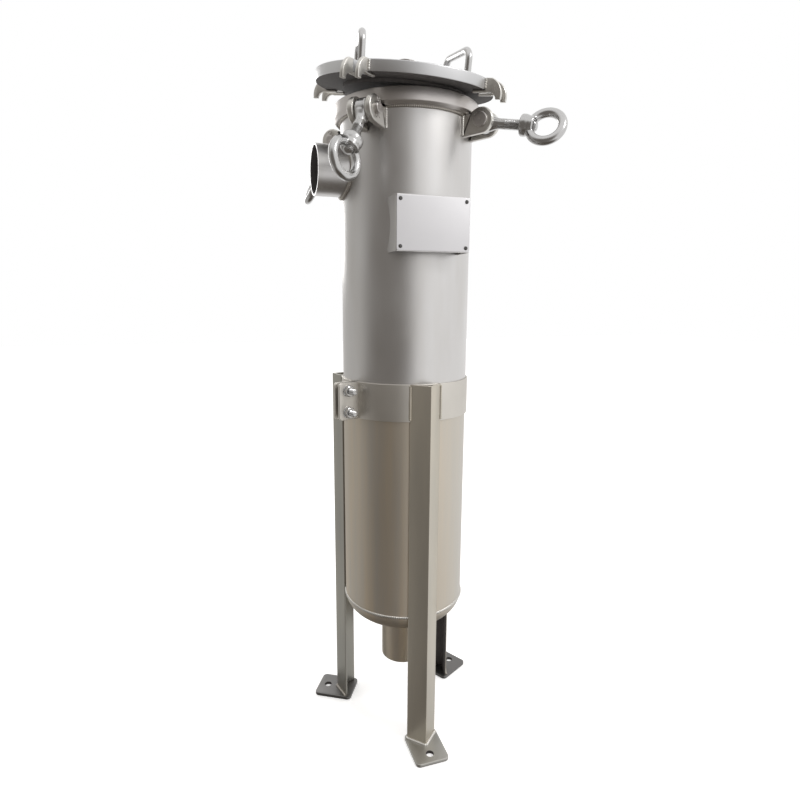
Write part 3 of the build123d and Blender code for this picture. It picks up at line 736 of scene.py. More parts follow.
# Painted light: the girth bead takes the paler weld copy.
second_finish(welds, WELD_PALE, lambda centre, normal: abs(centre[2] - GIRTH_Z) < 4 * MM)
print("weld triangles about", 2 * len(vessel_welds.polygons))

# %% [markdown]
# ## Frames for the lid and the closures
# The lid lies ajar, and each swing bolt hangs at its own angle. Drawing them in place would be
# hard, so each piece is drawn square to simple axes and then carried to its place: a point
# (a, b, c) becomes origin + a * first axis + b * second + c * third. The joints of the frame
# give the origins and the axes.


# %% Read the frames from the joints
def vector(values):
    return np.array(values, float)


lid_up = vector(joints["vent_plug_turn"]["axis"])
LID_THICK = 16 * MM
lid_origin = vector(joints["vent_plug_turn"]["pos_m"]) - LID_THICK * lid_up
lid_turn = Vector((0, 0, 1)).rotation_difference(Vector(lid_up)).to_matrix()
lid_axes = np.array(lid_turn).T
UPRIGHT = np.eye(3)


def radial_frame(azimuth):
    """Three axes at an angle round the vessel: outwards, sideways and up."""
    outwards = vector([np.cos(azimuth), np.sin(azimuth), 0])
    return np.array([outwards, np.cross((0, 0, 1), outwards), (0, 0, 1)])


def turn_about_up(degrees):
    """Rows that turn a row vector about the third axis by an angle."""
    turn = np.radians(degrees)
    return np.array([[np.cos(turn), np.sin(turn), 0], [-np.sin(turn), np.cos(turn), 0], [0, 0, 1]])


class Closure:
    """The hinge pin, the hanging bolt's axes and the ring centre of one swing bolt."""

    def __init__(self, name, ring_turn):
        swing = joints["bolt_swing_" + name]
        spin = joints["nut_turn_" + name]
        self.name = name
        self.pin = vector(swing["pos_m"])
        self.ring_centre = vector(spin["pos_m"])
        self.azimuth = np.arctan2(self.pin[1], self.pin[0])
        across = -vector(swing["axis"])
        up_bolt = -vector(spin["axis"])
        self.bolt_axes = np.array([np.cross(across, up_bolt), across, up_bolt])
        self.ring_axes = turn_about_up(ring_turn) @ self.bolt_axes
        self.length = np.linalg.norm(self.ring_centre - self.pin)
        self.lug_axes = radial_frame(self.azimuth)
        self.ear_axes = self.lug_axes @ lid_axes


closures = [Closure(name, ring_turn) for name, ring_turn in
            [("front_left", -10), ("front_right", 25), ("back_left", -50), ("back_right", 0)]]
print("lid tilt", round(float(np.degrees(np.arccos(lid_up[2]))), 2), "degrees;",
      [(c.name, round(float(c.length), 3)) for c in closures])


# %% Carry a mesh to its place
def carried(mesh, origin, axes):
    """Every vertex becomes origin + a * X + b * Y + c * Z, as one matrix product."""
    coords = np.empty(len(mesh.vertices) * 3)
    mesh.vertices.foreach_get("co", coords)
    placed = vector(origin) + coords.reshape(-1, 3) @ vector(axes)
    mesh.vertices.foreach_set("co", placed.ravel())
    mesh.update()
    return mesh


def path_in(points, origin, axes):
    """The same for a bare path of points."""
    return vector(origin) + vector(points) @ vector(axes)


def cast(name, meshes, voxel, passes):
    """Melt overlapping meshes into one skin: voxel remesh, then smooth the seams like a fillet."""
    body = bpy.data.objects.new(name, joined(name, meshes))
    scene.collection.objects.link(body)
    tidy_mesh(body.data)
    melt = body.modifiers.new("melt", "REMESH")
    melt.mode = "VOXEL"
    melt.voxel_size = voxel
    relax = body.modifiers.new("relax", "SMOOTH")
    relax.factor = 0.5
    relax.iterations = passes
    depsgraph = bpy.context.evaluated_depsgraph_get()
    skin = bpy.data.meshes.new_from_object(body.evaluated_get(depsgraph))
    bpy.data.objects.remove(body)
    return skin


print("carrying helpers ready")

# %% [markdown]
# ## The lid plate
# The lid is a thick disc, turned on both faces, with a shallow spigot below that centres it in
# the flange. Four notches let the swing bolts in. Its outline is a circle that dips inwards at
# each notch and comes back out, so the plate is that outline given thickness and soft edges.

# %% Cut the lid
LID_R = 144 * MM
NOTCH_HALF = 9.5 * MM
NOTCH_CENTRE = 130.5 * MM


def lid_outline():
    """A circle of radius R; at each notch two parallel sides run in to a half circle."""
    half_angle = np.degrees(np.arcsin(NOTCH_HALF / LID_R))
    angles = sorted(np.degrees(c.azimuth) for c in closures)
    points = []
    for here, after in zip(angles, angles[1:] + [angles[0] + 360]):
        turn = np.radians(here)
        centre = (NOTCH_CENTRE * np.cos(turn), NOTCH_CENTRE * np.sin(turn))
        points.append(arc(centre, NOTCH_HALF, here + 270, here + 90, 24))
        points.append(arc((0, 0), LID_R, here + half_angle, after - half_angle, 90))
    return np.concatenate(points)


lid_skin = plate("lid_skin", lid_outline(), LID_THICK, 1.5 * MM, lid_origin,
                 lid_axes[0], lid_axes[1], levels=5)
spigot_outline = [(0, 0.5 * MM), (0, -5 * MM), (100 * MM, -5 * MM), (100 * MM, 0.5 * MM)]
spigot = spun("lid_spigot", rounded(spigot_outline, 1 * MM), 160, lid_origin, lid_axes)
lid = show(joined("lid_skin", [lid_skin, spigot]), "lid", LID, smooth_angle=28)
# Painted shade: the lid's underside and its spigot take the near-black matte.
second_finish(lid, UNDER, lambda centre, normal: (centre - lid_origin) @ lid_up < 0.3 * MM)
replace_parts(lid, "lid_plate")
print("lid outline has", len(lid_outline()), "points")

# %% [markdown]
# ## The hooked ears
# Beside each notch stand two cheeks whose noses hook down past the rim. They stop the nut from
# sliding off as it is tightened. They were cut from plate, ground round and welded on, so the
# edges are soft and a bead runs along the rim.

# %% Forge the ears
EAR_GAP = 19 * MM
EAR_PLATE = 6 * MM


def through(first, middle, last, steps=14):
    """Points on the circle through three points, from the first to the last."""
    first, middle, last = vector(first), vector(middle), vector(last)
    chord_a, chord_b = middle - first, last - first
    matrix = 2 * np.array([chord_a, chord_b])
    centre = first + np.linalg.solve(matrix, [chord_a @ chord_a, chord_b @ chord_b])
    start, via, end = (np.arctan2(*(p - centre)[::-1]) for p in (first, middle, last))
    if (via - start) % TAU > (end - start) % TAU:
        end -= TAU * (end > start)
    else:
        end += TAU * (end < start)
    turn = np.linspace(start, end, steps)
    radius = np.linalg.norm(first - centre)
    return np.stack([centre[0] + radius * np.cos(turn), centre[1] + radius * np.sin(turn)], 1)


def cheek_sides(gap, thick):
    """(start, outer face) of the plates on both sides of a gap; plates grow towards minus."""
    return (-gap / 2, -gap / 2 - thick), (gap / 2 + thick, gap / 2 + thick)


def ear_outline():
    """Radius and height of one cheek: under the lid, down the hook and back over its nose."""
    tip = 169
    return MM * np.concatenate([
        [(124, 0), (124, -4)],
        through((145, -4), (tip - 12, -6), (tip - 8, -13)),
        through((tip, -13), (tip - 4, 7), (tip - 16, 16)),
        [(143.5, 16), (143.5, 0)],
    ])


for closure in closures:
    cheeks = []
    for side_y, face_y in cheek_sides(EAR_GAP, EAR_PLATE):
        origin = lid_origin + side_y * closure.ear_axes[1]
        cheeks.append(plate("cheek", ear_outline(), EAR_PLATE, 1.6 * MM, origin,
                            closure.ear_axes[0], closure.ear_axes[2], levels=4))
        outer = -0.4 * MM if side_y < 0 else 0.4 * MM
        rim = [(np.sqrt(LID_R**2 - face_y**2) + 0.5 * MM, face_y + outer, z * MM)
               for z in (1.5, 6, 10, 14.5)]
        cheeks.append(weld_bead("ear_bead", path_in(rim, lid_origin, closure.ear_axes), 2.0 * MM))
    ear = show(joined("ear_" + closure.name, cheeks), "lid", CAST)
    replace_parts(ear, "lid_ear_" + closure.name)
print("ears:", len(closures))

# %% [markdown]
# ## Lid handles
# Each handle is an 11 mm rod bent twice to a bridge and welded down at both feet. The bends
# are true arcs, so the path is built from straight runs and quarter circles, then a circle is
# carried along it.

# %% Bend the handles
HANDLES = (("left", -78 * MM, -10), ("right", 86 * MM, 0))      # place on the lid, skew
HANDLE_HALF = 49 * MM
HANDLE_ROD = 11 * MM
HANDLE_CROWN = LID_THICK + 54 * MM - HANDLE_ROD / 2


def bridge_path(half, base, crown, bend, steps=12):
    """Up one side, a quarter circle, across, a quarter circle and down: (sideways, height)."""
    left = arc((-half + bend, crown - bend), bend, 180, 90, steps)
    right = arc((half - bend, crown - bend), bend, 90, 0, steps)
    rise = np.linspace(base, crown - bend, 8)[:-1]
    up = np.stack([np.full_like(rise, -half), rise], 1)
    over = np.stack([np.linspace(-half + bend, half - bend, 10)[1:-1],
                     np.full(8, crown)], 1)
    down = np.stack([np.full_like(rise, half), rise[::-1]], 1)
    return np.concatenate([up, left, over, right, down])


for side_name, side_x, skew in HANDLES:
    lean = turn_about_up(skew)
    flat = bridge_path(HANDLE_HALF, LID_THICK - 1 * MM, HANDLE_CROWN, 16 * MM)
    local = np.stack([np.zeros(len(flat)), flat[:, 0], flat[:, 1]], 1) @ lean + (side_x, 0, 0)
    parts = [swept_tube("rod", path_in(local, lid_origin, lid_axes), HANDLE_ROD / 2, 28)]
    for foot_y in (-HANDLE_HALF, HANDLE_HALF):
        foot = ring_path(HANDLE_ROD / 2 + 0.8 * MM, LID_THICK + 0.5 * MM, 60)
        foot = (foot + (0, foot_y, 0)) @ lean + (side_x, 0, 0)
        parts.append(weld_bead("foot", path_in(foot, lid_origin, lid_axes), 1.9 * MM, closed=True))
    handle = show(joined("handle_" + side_name, parts), "lid", POLISHED)
    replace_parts(handle, "lid_handle_" + side_name)
print("handles 98 mm across, 54 mm high")

# %% [markdown]
# ## Vent socket and hexagon plug
# A short threaded socket is welded in the middle of the lid, closed by a hexagon plug. A
# machined hexagon has its corners cut by a cone, which leaves the curved edges that the eye
# knows: the radius at each height is the smaller of the hexagon's and the cone's.


# %% Machine the vent
def hexagon(name, flats, height, both_ends=False, steps=144, rows=14):
    """Radius = min(hexagon, cone); the cone starts at 0.96 of the flats and slopes 30 degrees."""
    turn = np.linspace(0, TAU, steps, endpoint=False)[:, None]
    level = np.linspace(0, height, rows * 3)[None, :]
    six_sided = flats / 2 / np.cos((turn + np.pi / 6) % (np.pi / 3) - np.pi / 6)
    cone = 0.48 * flats + (height - level) / np.tan(np.radians(30))
    if both_ends:
        cone = np.minimum(cone, 0.48 * flats + level / np.tan(np.radians(30)))
    points = polar(np.minimum(six_sided, cone), turn, level)
    return mesh_from_grid(name, points, close_u=True, cap_ends=True)


SOCKET_R = 18 * MM
SOCKET_BORE = 11 * MM
SOCKET_TOP = LID_THICK + 15 * MM
socket_outline = [(SOCKET_BORE, LID_THICK), (SOCKET_R, LID_THICK), (SOCKET_R, SOCKET_TOP - 2 * MM),
                  (SOCKET_R - 2 * MM, SOCKET_TOP), (SOCKET_BORE, SOCKET_TOP)]
socket_mesh = spun("socket", rounded(socket_outline, 0.7 * MM), 96, lid_origin, lid_axes)
socket_foot = ring_path(SOCKET_R + 0.8 * MM, LID_THICK + 0.6 * MM, 90)
socket_foot = path_in(socket_foot, lid_origin, lid_axes)
socket_weld = weld_bead("socket_bead", socket_foot, 2.3 * MM, closed=True)
socket = show(joined("vent_socket_skin", [socket_mesh, socket_weld]), "lid", LID)
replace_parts(socket, "vent_socket")

seat = SOCKET_TOP + 0.2 * MM
plug_head = carried(hexagon("plug_head", 26 * MM, 13 * MM), lid_origin + seat * lid_up, lid_axes)
shank_r = SOCKET_BORE - 0.2 * MM
shank_outline = rod_outline(shank_r, LID_THICK + 4 * MM, seat + 0.5 * MM)
plug_shank = spun("plug_shank", shank_outline, 64, lid_origin, lid_axes)
plug = show(joined("vent_plug_skin", [plug_head, plug_shank]), "plug", TURNED, smooth_angle=25)
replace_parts(plug, "vent_plug")
print("plug stands", round(float(seat + 13 * MM - LID_THICK), 4), "m above the lid")

# %% [markdown]
# ## The cast lugs
# Under the flange each closure hangs from two cheeks with a round end. They are castings: the
# faces are slightly uneven and every edge is soft. The outline is the pair of tangents from
# the shell to the round end.

# %% Cast the lugs
LUG_GAP = 20 * MM
LUG_PLATE = 10 * MM
LUG_END_R = 19 * MM
PIN_R = float(np.hypot(*closures[0].pin[:2]))
PIN_Z = float(closures[0].pin[2])


def tangent_angle(point, side):
    """Angle on the round end where a line from the point touches: bearing plus or minus acos."""
    away = vector(point) - vector([PIN_R, PIN_Z])
    bearing = np.degrees(np.arctan2(away[1], away[0]))
    return bearing + side * np.degrees(np.arccos(LUG_END_R / np.linalg.norm(away)))


def lug_outline():
    """Shell, lower tangent, round end, then back along the flange's rim and its underside."""
    low = (SHELL_R - 1.5 * MM, FLANGE_Z - 32.5 * MM)
    high = (SHELL_R + 3 * MM, FLANGE_Z)
    rim = FLANGE_R + 0.2 * MM
    start = tangent_angle(low, 1)
    end = tangent_angle(high, -1)
    if end < start:
        end += 360
    round_end = arc((PIN_R, PIN_Z), LUG_END_R, start, end, 40)
    slope = (round_end[-1, 1] - high[1]) / (round_end[-1, 0] - high[0])
    at_rim = high[1] + slope * (rim - high[0])
    return np.concatenate([[low], round_end, [(rim, at_rim), (rim, FLANGE_Z - 0.1 * MM),
                                              (SHELL_R - 1.5 * MM, FLANGE_Z - 0.1 * MM)]])


for closure in closures:
    cheeks = []
    for side_y, face_y in cheek_sides(LUG_GAP, LUG_PLATE):
        origin = side_y * closure.lug_axes[1]
        cheek = plate("cheek", rounded(lug_outline(), 0.6 * MM, 2), LUG_PLATE, 2.6 * MM, origin,
                      closure.lug_axes[0], closure.lug_axes[2], levels=6)
        cheeks.append(cheek)
        reach = np.sqrt(SHELL_R**2 - face_y**2)
        seam = [(reach + 0.6 * MM, face_y, FLANGE_Z - z * MM) for z in (2, 10, 20, 31)]
        cheeks.append(weld_bead("lug_bead", path_in(seam, (0, 0, 0), closure.lug_axes), 2.6 * MM))
    lug = show(joined("lug_skin_" + closure.name, cheeks), "vessel", CAST, smooth_angle=50)
    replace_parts(lug, "lug_" + closure.name)
print("lug outline:", np.round(lug_outline()[:3] * 1000, 1).tolist(), "...")

# %% [markdown]
# ## Hinge pins
# A headed pin crosses the two cheeks and a split cotter holds it. The cotter is one wire
# folded back on itself: a round eye on top and two legs bent apart below.


# %% Make the pins
def lathe(name, outline, origin, axes, steps=64):
    """Spin an outline about the second axis of a frame instead of the third."""
    first, second, third = axes
    return spun(name, outline, steps, origin, np.array([third, first, second]))


def cotter_path():
    """Down one leg, round the eye above the pin and down the other leg: (x, z) in its plane."""
    eye_r = 2.6
    top = 9.5 + eye_r
    eye = arc((0, top), eye_r, -60, 240, 22)
    leg_x = 0.75
    left = [(-4.5, -13.0), (-2.0, -11.0), (-leg_x, -9.0), (-leg_x, 0), (-leg_x, 8.0)]
    right = [(leg_x, 8.0), (leg_x, 0), (leg_x, -9.0), (2.0, -11.0), (4.5, -13.0)]
    return MM * np.concatenate([right[::-1], eye, left[::-1]])


for closure in closures:
    reach = LUG_GAP / 2 + LUG_PLATE
    outline = [(0, -reach - 4 * MM), (11 * MM, -reach - 4 * MM), (11 * MM, -reach),
               (8 * MM, -reach), (8 * MM, reach + 6 * MM), (0, reach + 6 * MM)]
    pin = lathe("pin", rounded(outline, 1.2 * MM), closure.pin, closure.lug_axes)
    flat = cotter_path()
    wire = np.stack([flat[:, 0], np.full(len(flat), reach + 3 * MM), flat[:, 1]], 1)
    cotter = swept_tube("cotter", path_in(wire, closure.pin, closure.lug_axes), 0.8 * MM, 10)
    whole = show(joined("pin_skin_" + closure.name, [pin, cotter]), "vessel", TURNED)
    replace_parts(whole, "lug_pin_" + closure.name)
print("pins at radius", round(PIN_R, 4), "height", round(PIN_Z, 4))

# %% [markdown]
# ## Swing bolts
# Each bolt is a forging: an eye round the hinge pin that flows into the shank, then a rolled
# thread. The eye and its neck are melted together by a voxel remesh, which rounds the joint as
# forging does. The thread is a true helix: its radius depends on height and angle together.

# %% Forge the bolts and roll their threads
BOLT_R = 8 * MM
THREAD_PITCH = 2 * MM


def threaded_rod(name, radius, pitch, start, end, steps=40, per_turn=9):
    """Radius = R - depth * ridge(height / pitch - angle); the ends taper off as a lead-in."""
    turn = np.linspace(0, TAU, steps, endpoint=False)[:, None]
    rows = int((end - start) / pitch * per_turn)
    level = np.linspace(start, end, rows)[None, :]
    phase = (level / pitch - turn / TAU) % 1.0
    ridge = np.clip(np.abs(phase - 0.5) * 2.6 - 0.15, 0, 1)
    to_end = np.minimum(level - start, end - level)
    fade_in = np.clip((level - start) / (1.2 * pitch), 0, 1)
    chamfer = np.clip(1.4 * MM - to_end, 0, None)
    lead_in = np.where(level > (start + end) / 2, chamfer, 0)
    points = polar(radius - 0.6 * pitch * ridge * fade_in - lead_in, turn, level)
    return mesh_from_grid(name, points, close_u=True, cap_ends=True)


FLIPPED = np.array([[1, 0, 0], [0, -1, 0], [0, 0, -1.0]])
for closure in closures:
    eye_outline = rod_outline(16 * MM, -9 * MM, 9 * MM)
    eye = lathe("eye", rounded(eye_outline, 3.5 * MM, 6), (0, 0, 0), UPRIGHT, 48)
    neck_outline = [(0, 0), (0, -36), (7.9, -36), (7.9, -24), (9.4, -18), (12.5, -12), (12.5, 0)]
    neck = spun("neck", MM * vector(neck_outline), 48)
    forged = cast("forged_eye", [eye, neck], 0.9 * MM, 7)
    tip = closure.length - 14 * MM
    thread = carried(threaded_rod("thread", BOLT_R - 0.1 * MM, THREAD_PITCH, 33 * MM, tip),
                     (0, 0, 0), FLIPPED)
    bolt = show(carried(forged, closure.pin, closure.bolt_axes), "bolt_" + closure.name, POLISHED,
                name="swing_bolt_skin_" + closure.name, smooth_angle=60, tidy=False)
    bore = lathe("pin_bore", rod_outline(8.2 * MM, -0.03, 0.03), closure.pin, closure.bolt_axes)
    cut_with(bolt, bore)
    rod = show(carried(thread, closure.pin, closure.bolt_axes), "bolt_" + closure.name, POLISHED,
               name="bolt_thread_" + closure.name, smooth_angle=50)
    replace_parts(bolt, "swing_bolt_" + closure.name)
print("thread turns:", [int((c.length - 38 * MM) / THREAD_PITCH) for c in closures])

# %% [markdown]
# ## Ring nuts
# The nuts are polished castings: a round collar, a waist and a ring in one plane. Again the
# pieces are melted together, so the ring grows out of the waist without a seam. The bore is
# then cut clean, as a drill would.

# %% Cast the ring nuts
RING_R = 24.5 * MM
RING_WIRE_R = 7 * MM


def ring_mesh():
    """A torus in the plane of the first and third axes."""
    turn = np.linspace(0, TAU, 120, endpoint=False)
    path = np.stack([RING_R * np.sin(turn), np.zeros_like(turn), RING_R * np.cos(turn)], 1)
    return swept_tube("ring", path, RING_WIRE_R, 28, closed=True)


for closure in closures:
    collar_outline = MM * vector([(0, 38), (16, 38), (16, 31), (15.0, 28), (13.9, 25.5),
                                  (13.8, 22.5), (14.4, 20), (12, 17.6), (0, 17.6)])
    collar = spun("collar", rounded(collar_outline, 1.4 * MM, 3), 64)
    nut_skin = cast("nut", [collar, ring_mesh()], 0.9 * MM, 7)
    nut = show(carried(nut_skin, closure.ring_centre, closure.ring_axes), "nut_" + closure.name,
               POLISHED, name="eye_nut_skin_" + closure.name, smooth_angle=60, tidy=False)
    drill = spun("drill", rod_outline(8.2 * MM, 0, 60 * MM), 64, closure.ring_centre,
                 closure.ring_axes)
    cut_with(nut, drill)
    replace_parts(nut, "eye_nut_" + closure.name)
print("nut triangles about", 2 * len(nut.data.polygons))

# %% [markdown]
# ## The clamp band
# The legs hang from a rolled strap that is pulled tight round the shell. Its two ears are
# plates welded to the ends of the strap and drawn together by two bolts. The strap is a
# profile spun through all but the gap; the ears are plates.

# %% Roll the band
band_low, band_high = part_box("clamp_band")
BAND_Z = float(band_low[2])
BAND_TOP = float(band_high[2])
BAND_R = SHELL_R + 3 * MM
SPLIT = np.radians(-156)
EAR_HALF_GAP = 4 * MM
EAR_THICK = 5 * MM
BAND_EAR_LONG = 38 * MM
CLAMP_RISES = (-18 * MM, 18 * MM)    # the two bolts, below and above the band's middle
split_axes = radial_frame(SPLIT)


def band_surface(steps=240):
    """The strap's rounded section carried round the shell from one side of the gap to the other."""
    corners = [(SHELL_R, BAND_Z), (BAND_R, BAND_Z), (BAND_R, BAND_TOP), (SHELL_R, BAND_TOP)]
    section = rounded(corners, 0.9 * MM)
    gap = EAR_HALF_GAP / SHELL_R
    turn = np.linspace(SPLIT + gap, SPLIT + TAU - gap, steps)[None, :]
    points = polar(section[:, :1], turn, section[:, 1:])
    return mesh_from_grid("band_skin", points, close_u=True, cap_ends=True)


def band_ear_outline():
    """Radius and height of an ear, with its two outer corners rounded by 6 mm."""
    inner, outer, corner = BAND_R - 0.8 * MM, BAND_R + BAND_EAR_LONG, 6 * MM
    top = arc((outer - corner, BAND_TOP - corner), corner, 90, 0, 10)
    bottom = arc((outer - corner, BAND_Z + corner), corner, 0, -90, 10)
    return np.concatenate([[(inner, BAND_TOP)], top, bottom, [(inner, BAND_Z)]])


def clamp_spot(rise):
    """A bolt's middle: just past half way out along the ears, above or below their middle."""
    height = (BAND_Z + BAND_TOP) / 2 + rise
    return (BAND_R + 0.55 * BAND_EAR_LONG) * split_axes[0] + vector([0, 0, height])


band_parts = [band_surface()]
seam_heights = np.linspace(BAND_Z + 2 * MM, BAND_TOP - 2 * MM, 9)
for side_y, face_y in cheek_sides(2 * EAR_HALF_GAP, EAR_THICK):
    band_parts.append(plate("band_ear", band_ear_outline(), EAR_THICK, 0.9 * MM,
                            side_y * split_axes[1], split_axes[0], split_axes[2]))
    seam = [(BAND_R + 0.3 * MM, face_y, z) for z in seam_heights]
    band_parts.append(weld_bead("seam", path_in(seam, (0, 0, 0), split_axes), 2.4 * MM))
band = show(joined("band_skin", band_parts), "vessel", BAND)
for rise in CLAMP_RISES:
    hole = rod_outline(5.2 * MM, -0.03, 0.03)
    cut_with(band, lathe("bolt_hole", hole, clamp_spot(rise), split_axes))
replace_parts(band, "clamp_band")
print("band from", round(BAND_Z, 3), "to", round(BAND_TOP, 3))

# %% Bolt the band
clamp_bolt_parts = []
clamp_nut_parts = []
Y_UP = np.array([split_axes[2], split_axes[0], split_axes[1]])
Y_DOWN = np.array([split_axes[0], split_axes[2], -split_axes[1]])
for rise in CLAMP_RISES:
    centre = clamp_spot(rise)
    face = EAR_HALF_GAP + EAR_THICK
    head = hexagon("head", 17 * MM, 6.5 * MM)
    clamp_bolt_parts.append(carried(head, centre - face * split_axes[1], Y_DOWN))
    shank = threaded_rod("shank", 4.95 * MM, 1.5 * MM, -face, face + 22 * MM, 32, 8)
    clamp_bolt_parts.append(carried(shank, centre, Y_UP))
    washer = spun("washer", rounded([(5.2 * MM, 0), (10 * MM, 0), (10 * MM, 1.4 * MM),
                                     (5.2 * MM, 1.4 * MM)], 0.4 * MM), 64)
    clamp_nut_parts.append(carried(washer, centre + face * split_axes[1], Y_UP))
    nut_mesh = hexagon("nut", 17 * MM, 6.6 * MM, both_ends=True)
    clamp_nut_parts.append(carried(nut_mesh, centre + (face + 1.4 * MM) * split_axes[1], Y_UP))
clamp_bolts = show(joined("clamp_bolts_skin", clamp_bolt_parts), "vessel", POLISHED, smooth_angle=25)
clamp_nuts = show(joined("clamp_nuts_skin", clamp_nut_parts), "vessel", POLISHED, smooth_angle=25)
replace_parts(clamp_bolts, "clamp_bolts")
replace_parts(clamp_nuts, "clamp_nuts")
print("clamp fasteners: 2 bolts, 2 washers, 2 nuts")

# %% [markdown]
# ## Legs and feet
# The legs are hot-rolled angle with the ridge outwards. Rolled angle has a crisp ridge, soft
# toes and a round inner corner, all of which catch light differently, so the section is drawn
# with each of them and given length. The feet are cut plate with one bolt hole each.

# %% Roll the legs
LEG_SIDE = 38 * MM
LEG_THICK = 4 * MM
LEG_AZIMUTHS = {"front": -90, "back_right": 30, "back_left": 150}
FOOT_THICK = 6 * MM
LEG_REACH = LEG_SIDE / np.sqrt(2)
LEG_RIDGE = float(np.sqrt(BAND_R**2 - LEG_REACH**2) + LEG_REACH)


def angle_section():
    """The L section turned by 45 degrees so that its ridge points along the first axis."""
    side, thick = LEG_SIDE, LEG_THICK
    root = arc((-thick - 0.004, -thick - 0.004), 0.004, 90, 0, 8)
    outline = np.concatenate([[(0, 0), (-side, 0), (-side, -thick)], root,
                              [(-thick, -side), (0, -side)]])
    outline = rounded(outline, 1.3 * MM, 4)
    x = (outline[:, 0] + outline[:, 1]) / np.sqrt(2)
    y = (outline[:, 1] - outline[:, 0]) / np.sqrt(2)
    return np.stack([x + LEG_RIDGE, y], 1)


for place, azimuth in LEG_AZIMUTHS.items():
    axes = radial_frame(np.radians(azimuth))
    bar = plate("bar", angle_section(), BAND_TOP - FOOT_THICK, 0.5 * MM,
                vector([0, 0, FOOT_THICK]), axes[0], axes[1], levels=3)
    parts = [bar]
    for toe_side in (-1, 1):
        seam_y = toe_side * (LEG_REACH - 0.5 * MM)
        seam = [(BAND_R - 2.6 * MM, seam_y, z)
                for z in np.linspace(BAND_Z + 3 * MM, BAND_TOP - 3 * MM, 9)]
        parts.append(weld_bead("toe_seam", path_in(seam, (0, 0, 0), axes), 2.2 * MM))
    # Painted shade: the back left leg takes the darker copy of the angle steel.
    finish = MILL_DULL if place == "back_left" else MILL
    leg = show(joined("leg_skin_" + place, parts), "vessel", finish)
    # Painted shade on the back right leg's inner faces, which face the vessel.
    if place == "back_right":
        second_finish(leg, UNDER, lambda centre, normal: normal @ axes[0] < -0.6)
    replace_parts(leg, "leg_" + place)
print("leg ridge at", round(LEG_RIDGE, 4), "from the axis")

# %% Cut the foot plates and weld them on
foot_outline = round_rectangle(100 * MM, 174 * MM, -30 * MM, 30 * MM, 8 * MM, 10)
FOOT_HOLE_PLACE = 155.5 * MM
for place, azimuth in LEG_AZIMUTHS.items():
    axes = radial_frame(np.radians(azimuth))
    foot_mesh = plate("foot_skin_" + place, foot_outline, FOOT_THICK, 0.9 * MM, (0, 0, 0),
                      axes[0], axes[1])
    # The front foot keeps the pale copy; the back feet take the copy with painted shade.
    foot = show(foot_mesh, "vessel", FOOT_PALE if place == "front" else FOOT)
    hole = rod_outline(7 * MM, -0.01, 0.02)
    middle = FOOT_HOLE_PLACE * axes[0]
    cut_with(foot, spun("bolt_hole", hole, 48, middle, axes))
    # Painted shade on the walls of the bolt hole.
    second_finish(foot, UNDER, lambda centre, normal: np.hypot(*(centre - middle)[:2]) < 7.1 * MM)
    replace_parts(foot, "foot_plate_" + place)
    toe = LEG_REACH + 0.6 * MM
    ridge = LEG_RIDGE + 0.6 * MM
    line = [(ridge - toe, toe, 0), (ridge - 6 * MM, 6 * MM, 0), (ridge - 1.2 * MM, 1.6 * MM, 0),
            (ridge - 1.2 * MM, -1.6 * MM, 0), (ridge - 6 * MM, -6 * MM, 0), (ridge - toe, -toe, 0)]
    line = path_in(line, (0, 0, FOOT_THICK + 0.4 * MM), axes)
    # The front foot's bead takes the paler copy with painted light.
    bead, finish = (3.6 * MM, WELD_PALE) if place == "front" else (3.0 * MM, WELD)
    seam = show(weld_bead("foot_bead_" + place, line, bead), "vessel", finish, smooth_angle=60)
    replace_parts(seam, "foot_weld_" + place)
print("feet 74 by 60 mm, holes 14 mm")

# %% [markdown]
# ## Nameplate
# A blank plate stands off the shell on a bent sheet bracket and is held by four dome rivets.
# The bracket's shape from the frame is right, so it only gets a finish.

# %% Fit the nameplate
plate_low, plate_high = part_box("nameplate")
card_middle = vector([0, plate_high[1], (plate_low[2] + plate_high[2]) / 2])
card_outline = round_rectangle(-59 * MM, 59 * MM, -40 * MM, 40 * MM, 3 * MM, 8)
card = plate("nameplate_skin", card_outline, 1.5 * MM, 0.4 * MM, card_middle,
             (1, 0, 0), (0, 0, 1))
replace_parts(show(card, "vessel", PLATE), "nameplate")

dome_turn = np.linspace(0, np.pi / 2, 8)
dome = np.stack([3 * MM * np.cos(dome_turn), 1.6 * MM * np.sin(dome_turn)], 1)
dome[-1, 0] = 1e-6
heads = []
for x in (-53 * MM, 53 * MM):
    for z in (-34 * MM, 34 * MM):
        spot = card_middle + vector([x, -1.5 * MM, z])
        facing_out = [(1, 0, 0), (0, 0, 1), (0, -1, 0)]
        heads.append(spun("rivet", dome, 32, spot, facing_out, closed=False))
rivets = show(joined("rivet_heads", heads), "vessel", RIVET, smooth_angle=60)
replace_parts(rivets, "nameplate_rivets")
print("plate centre height", round(float(card_middle[2]), 4))

# %% [markdown]
# ## Inside the vessel
# Under the lid hang a slotted basket and a felt bag. The bag is soft: it bulges a little
# through each slot of the basket, and a sewn seam runs down one side. Its radius is the sock's
# radius plus a small wave that follows the slots, and a narrow ridge at the seam.

# %% Sew the bag and bend the bail
bag_low, bag_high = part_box("filter_bag")
BAG_R = (bag_high[0] - bag_low[0]) / 2
BAG_TOP = float(bag_high[2])
BAG_BOTTOM = float(bag_low[2])


